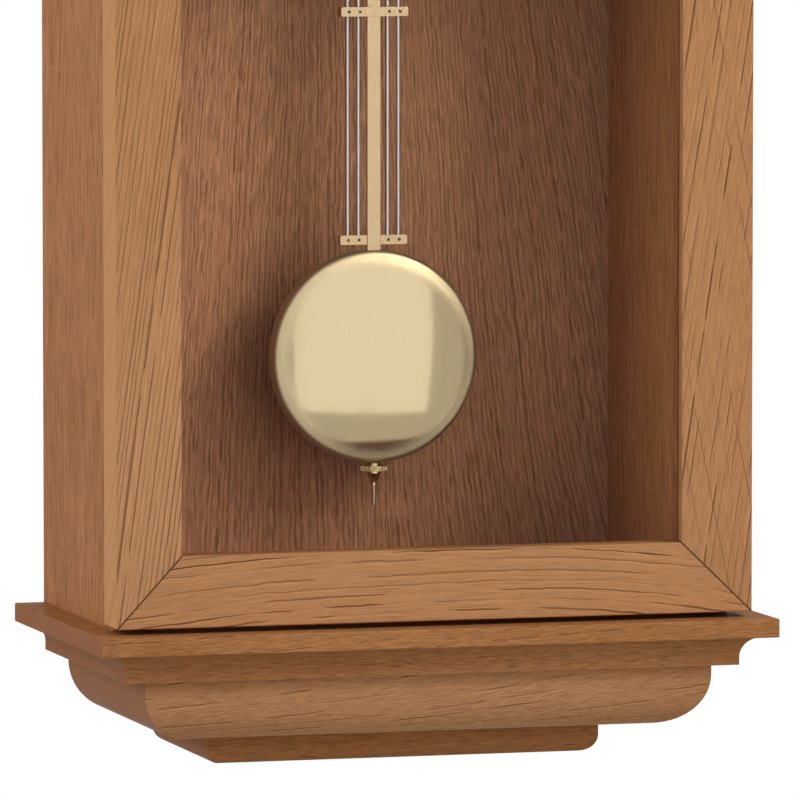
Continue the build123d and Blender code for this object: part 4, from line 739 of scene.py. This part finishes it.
def print_ring(made, inner, outer, steps=180):
    """Printed circle about the dial's middle."""
    circle = [2 * math.pi * step / steps for step in range(steps)]
    rows = [
        [
            made.verts.new((hub.x + r * math.cos(a), hub.y - height, hub.z + r * math.sin(a)))
            for a in circle
        ]
        for r, height in ((inner, 0), (inner, INK_HEIGHT), (outer, INK_HEIGHT), (outer, 0))
    ]
    for row in range(4):
        low, high = rows[row], rows[(row + 1) % 4]
        for i in range(steps):
            j = (i + 1) % steps
            made.faces.new((low[i], low[j], high[j], high[i]))


def stroke(left, right, low, high, width):
    """Slanted or upright stem of a numeral with flat ends."""
    half = width / 2
    return [(left - half, low), (left + half, low), (right + half, high), (right - half, high)]


def numeral_strokes(text):
    """Stems and serifs of a Roman numeral, centred on its own width, with its foot at zero."""
    start = -sum(LETTER_W[letter] for letter in text) / 2
    low, high = SERIF_H, NUMERAL_H - SERIF_H
    shapes = []
    for letter in text:
        end = start + LETTER_W[letter]
        mid = (start + end) / 2
        left, right = start + STEM_IN, end - STEM_IN
        if letter == "I":
            shapes.append(stroke(mid, mid, low, high, THICK))
            feet = [(mid, 0, STEM_FOOT), (mid, high, STEM_FOOT)]
        elif letter == "V":
            shapes.append(stroke(mid + V_THICK_SHIFT, left, low, high, THICK))
            shapes.append(stroke(mid + V_THIN_SHIFT, right, low, high, THIN))
            feet = [(left, high, THICK_FOOT), (right, high, THIN_FOOT)]
        else:
            shapes.append(stroke(right, left, low, high, THICK))
            shapes.append(stroke(left, right, low, high, THIN))
            feet = [(left, 0, THIN_FOOT), (right, 0, THICK_FOOT)]
            feet += [(left, high, THICK_FOOT), (right, high, THIN_FOOT)]
        for middle, foot, half in feet:
            shapes.append([(middle - half, foot), (middle + half, foot)])
            shapes[-1] += [(middle + half, foot + SERIF_H), (middle - half, foot + SERIF_H)]
        start = end
    return shapes


def print_numerals(made):
    """Twelve numerals with their feet towards the middle."""
    for hour, text in enumerate("XII I II III IV V VI VII VIII IX X XI".split()):
        turn = math.radians(30 * hour)
        for shape in numeral_strokes(text):
            print_shape(made, [(u, v + NUMERAL_OUT - NUMERAL_H) for u, v in shape], turn)


def print_track(made):
    """Two circles with a bar for each minute, broader at the hours."""
    print_ring(made, TRACK_IN, TRACK_IN + RING_W)
    print_ring(made, TRACK_OUT - RING_W, TRACK_OUT)
    for minute in range(60):
        half = HOUR_MARK if minute % 5 == 0 else MINUTE_MARK
        bar = [(-half, TRACK_IN), (half, TRACK_IN), (half, TRACK_OUT), (-half, TRACK_OUT)]
        print_shape(made, bar, math.radians(6 * minute))


def spin(made, profile, middle, steps=64):
    """Turned ring about a line that runs forward through the middle; profile is (radius, forward)."""
    rows = []
    for step in range(steps):
        a = 2 * math.pi * step / steps
        rows.append(
            [
                made.verts.new((middle.x + r * math.cos(a), middle.y - f, middle.z + r * math.sin(a)))
                for r, f in profile
            ]
        )
    for step in range(steps):
        here, after = rows[step], rows[(step + 1) % steps]
        for i in range(len(profile)):
            j = (i + 1) % len(profile)
            made.faces.new((here[i], here[j], after[j], after[i]))


arbor_low, arbor_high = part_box("ratchet_wheel")
key_place = (arbor_low + arbor_high) / 2
key_place.y = hub.y
EYELET = [(0.0060, 0.0), (0.0060, 0.0005), (0.0064, 0.0008)]
EYELET += [(0.0071, 0.0008), (0.0078, 0.0004), (0.0080, 0.0)]
dress(lacquer_finish("dial_cream", DIAL_CREAM, DIAL_AGED, rough=0.38), "dial_plate")
ink = lacquer_finish("dial_ink", INK, INK_WORN, rough=0.45, spots=300.0)
add_piece("dial_numerals", print_numerals, ink, "case")
add_piece("dial_minute_track", print_track, ink, "case")
add_piece("winding_eyelet", lambda made: spin(made, EYELET, key_place), bright_brass, "case")
dress(bright_brass, "dial_bezel")

# Hands: leaf shapes sawn from thin steel and lacquered black.
# The hour hand is pressed on its wheel's pipe; a small brass nut holds the minute hand.
HAND_BLACK = (0.015, 0.014, 0.014, 1)
HAND_WORN = (0.03, 0.028, 0.026, 1)
hand_black = lacquer_finish("hand_black", HAND_BLACK, HAND_WORN, rough=0.24, spots=200.0)
dress(hand_black, "hour_hand", "minute_hand")
dress(bright_brass, "hand_nut")

# Pendulum: a flat strip of satin brass that ends in a thread, crossed by three brass bars
# that carry four bright steel rods. Each rod is held by a small dark pin with a domed head,
# driven into a hole in the bar.
LYRE_BRASS = (0.365, 0.250, 0.138, 1)
LYRE_FILM = (0.325, 0.22, 0.115, 1)
ROD_STEEL = (0.44, 0.385, 0.36, 1)
ROD_DULL = (0.36, 0.31, 0.285, 1)
PIN_DARK = (0.10, 0.065, 0.035, 1)
PIN_BLACK = (0.06, 0.04, 0.025, 1)
PIN_STEPS = 12
PIN_R = 0.00068
PIN_HEAD = ((PIN_R, 0.0), (PIN_R, 0.00030), (0.8 * PIN_R, 0.00042), (0.4 * PIN_R, 0.00048))
PIN_SIDEWAYS = (-0.01305, -0.0075, 0.0075, 0.01305)
BAR_HALF = 0.00235
LOW_BAR_BACK = 0.00185
HOLE_DEEP = 0.0006
bars_low, bars_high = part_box("lyre_bars")
lyre_brass = metal_finish("lyre_brass", LYRE_BRASS, LYRE_FILM, shine=0.30, lines=0.25)
dress(lyre_brass, "pendulum_rod", "lyre_bars")
rod_steel = metal_finish("rod_steel", ROD_STEEL, ROD_DULL, shine=0.30)
dress(rod_steel, "lyre_rods")


def drive_pins(made):
    """Small domed heads down in the holes of the three bars, four to a bar."""
    circle = [2 * math.pi * step / PIN_STEPS for step in range(PIN_STEPS)]
    levels = (bars_low.z + BAR_HALF, (bars_low.z + bars_high.z) / 2, bars_high.z - BAR_HALF)
    for level, set_back in zip(levels, (LOW_BAR_BACK, 0.0, 0.0)):
        floor_y = bars_low.y + set_back + HOLE_DEEP
        for x in PIN_SIDEWAYS:
            rows = [
                [made.verts.new((x + r * math.cos(a), floor_y - f, level + r * math.sin(a))) for a in circle]
                for r, f in PIN_HEAD
            ]
            made.faces.new(rows[0])
            made.faces.new(rows[-1])
            for low, high in zip(rows, rows[1:]):
                for i in range(PIN_STEPS):
                    j = (i + 1) % PIN_STEPS
                    made.faces.new((low[i], low[j], high[j], high[i]))


pin_dark = metal_finish("pin_dark", PIN_DARK, PIN_BLACK, shine=0.5)
add_piece("lyre_pins", drive_pins, pin_dark, "pendulum")

# Bob: a spun brass shell, polished and lacquered, duller towards its rolled rim, with a cast iron
# weight inside. Its mesh is welded and smoothed so that the polish runs evenly over the middle.
# The rating nut under it is turned from brass with a knurled rim.
BOB_BRASS = (0.415, 0.318, 0.180, 1)
BOB_FILM = (0.385, 0.285, 0.150, 1)
BOB_COAT, COAT_ROUGH = 0.15, 0.15
RIM_START, RIM_END = 0.0430, 0.0510
RIM_DULL = 0.36
FACE_PLANE = (1, 0, 1)
APEX_GAP = 0.000002
CRISP_ANGLE = math.radians(40)
IRON = (0.055, 0.052, 0.05, 1)
IRON_RUST = (0.09, 0.07, 0.055, 1)
bob_brass = metal_finish("bob_brass", BOB_BRASS, BOB_FILM, shine=0.07, film_amount=0.15, lines=0.03)
bob_low, bob_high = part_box("bob_shell")
bob_middle = (bob_low + bob_high) / 2
tree = bob_brass.node_tree
surface = tree.nodes["Principled BSDF"]
place = put(tree, "TexCoord").outputs["Object"]
place = put(tree, "VectorMath", {0: place, 1: bob_middle}, operation="SUBTRACT").outputs[0]
flat = put(tree, "VectorMath", {0: place, 1: FACE_PLANE}, operation="MULTIPLY").outputs[0]
out = put(tree, "VectorMath", {0: flat}, operation="LENGTH").outputs["Value"]
polish = surface.inputs["Roughness"].links[0].from_socket
dulled = sum_of(tree, "ADD", polish, ramp(tree, out, RIM_START, RIM_END, 0.0, RIM_DULL))
tree.links.new(dulled, surface.inputs["Roughness"])
surface.inputs["Coat Weight"].default_value = BOB_COAT
surface.inputs["Coat Roughness"].default_value = COAT_ROUGH
dress(bob_brass, "bob_shell")
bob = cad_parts["bob_shell"]
bob.modifiers.new("closed_apex", "WELD").merge_threshold = APEX_GAP
bob.modifiers.new("crisp_back_edge", "EDGE_SPLIT").split_angle = CRISP_ANGLE
bob.modifiers.new("even_polish", "WEIGHTED_NORMAL")
dress(bright_brass, "rating_nut")
dress(lacquer_finish("cast_iron", IRON, IRON_RUST, rough=0.6, spots=120.0), "bob_weight")

# Studio: a round pale floor well under the hung clock, a broad soft lamp in front, a smaller and
# stronger one to the front right and above, and a large one square on the left side.
# The surround is white where it is seen and dimmer where it only adds light.
FLOOR_DROP = 0.90
FLOOR_R = 0.8
FLOOR_Y = -0.09
FLOOR_SEGMENTS = 96
FLOOR_ROUGH = 0.9
FLOOR_GRIT = 30.0
FLOOR_PALE = (0.90, 0.90, 0.89, 1)
FLOOR_GREY = (0.86, 0.86, 0.85, 1)
TARGET = Vector((0.0, -0.06, -0.46))
SURROUND_WHITE = (1, 1, 1, 1)
SURROUND_WARM = (1.0, 0.95, 0.89, 1)
SURROUND_DIM, SURROUND_BRIGHT = 0.30, 0.70
SURROUND_AXIS = (0.26, -0.96, 0.05)
GLOW_LEVELS = (0.66, 0.90)
BELOW_LEVELS = (-0.62, -0.44)
BELOW_SHARE = 0.15
floor_mesh = bpy.data.meshes.new("floor")
made = bmesh.new()
bmesh.ops.create_circle(made, cap_ends=True, segments=FLOOR_SEGMENTS, radius=FLOOR_R)
bmesh.ops.translate(made, verts=made.verts, vec=(0, FLOOR_Y, cad_low.z - FLOOR_DROP))
made.to_mesh(floor_mesh)
made.free()
floor = bpy.data.objects.new("floor", floor_mesh)
bpy.context.scene.collection.objects.link(floor)
floor_white, tree, surface = new_material("floor_white")
surface.inputs["Roughness"].default_value = FLOOR_ROUGH
grit = put(tree, "TexNoise", {"Scale": FLOOR_GRIT, "Detail": 3.0}).outputs[0]
colour = blend_colour(tree, grit, FLOOR_GREY, FLOOR_PALE)
tree.links.new(colour, surface.inputs["Base Color"])
floor_mesh.materials.append(floor_white)


def add_softbox(name, turn, rise, reach, width, height, radiance, colour):
    """Rectangular lamp that faces the clock; turn is to the right of straight ahead, in degrees."""
    lamp = bpy.data.lights.new(name, "AREA")
    lamp.shape = "RECTANGLE"
    lamp.size, lamp.size_y = width, height
    lamp.energy = radiance * math.pi * width * height
    lamp.color = colour
    stand = bpy.data.objects.new(name, lamp)
    a, e = math.radians(turn), math.radians(rise)
    away = Vector((math.sin(a) * math.cos(e), -math.cos(a) * math.cos(e), math.sin(e)))
    stand.location = TARGET + reach * away
    stand.rotation_euler = away.to_track_quat("Z", "Y").to_euler()
    bpy.context.scene.collection.objects.link(stand)


COOL, PLAIN = (0.93, 1.0, 1.10), (1.0, 1.0, 1.0)
front_stand = {"turn": 12.4, "rise": 5, "reach": 1.25, "width": 0.80, "height": 1.05}
high_stand = {"turn": 37, "rise": 32, "reach": 1.5, "width": 0.60, "height": 0.60}
left_stand = {"turn": -84, "rise": 14, "reach": 1.6, "width": 1.40, "height": 1.50}
add_softbox("front_softbox", **front_stand, radiance=0.88, colour=COOL)
add_softbox("main_softbox", **high_stand, radiance=7.8, colour=PLAIN)
add_softbox("left_softbox", **left_stand, radiance=2.40, colour=PLAIN)
world = bpy.data.worlds.new("white_surround")
bpy.context.scene.world = world
world.use_nodes = True
tree = world.node_tree
paths = put(tree, "LightPath").outputs
mirrored = sum_of(tree, "MAXIMUM", paths["Is Glossy Ray"], paths["Is Transmission Ray"])
seen = sum_of(tree, "MAXIMUM", paths["Is Camera Ray"], mirrored)
around = put(tree, "TexCoord").outputs["Generated"]
facing = put(tree, "VectorMath", {0: around, 1: SURROUND_AXIS}, operation="DOT_PRODUCT").outputs["Value"]
glow = ramp(tree, facing, *GLOW_LEVELS, SURROUND_DIM, SURROUND_BRIGHT)
height = put(tree, "SeparateXYZ", {0: around}).outputs[2]
glow = sum_of(tree, "MULTIPLY", glow, ramp(tree, height, *BELOW_LEVELS, BELOW_SHARE, 1.0))
surround = tree.nodes["Background"]
tree.links.new(blend_colour(tree, seen, SURROUND_WARM, SURROUND_WHITE), surround.inputs["Color"])
tree.links.new(put(tree, "Mix", {0: seen, 2: glow, 3: 1.0}).outputs[0], surround.inputs["Strength"])

# Camera: a long lens on the left and a little above, as the photograph was taken.
# It sees the lower half of the clock.
CAMERA_PLACE = (-1.18546, -4.20566, -0.13471)
CAMERA_TURN = 16.103
CAMERA_DOWN = 4.592
CAMERA_LENS = 394.06
SENSOR_W = 36.0
camera_data = bpy.data.cameras.new("photo_camera")
camera_data.lens = CAMERA_LENS
camera_data.sensor_width = SENSOR_W
camera = bpy.data.objects.new("photo_camera", camera_data)
camera.location = CAMERA_PLACE
camera.rotation_euler = (math.radians(90 - CAMERA_DOWN), 0, math.radians(-CAMERA_TURN))
bpy.context.scene.collection.objects.link(camera)
bpy.context.scene.camera = camera
bpy.context.scene.view_settings.view_transform = "Standard"
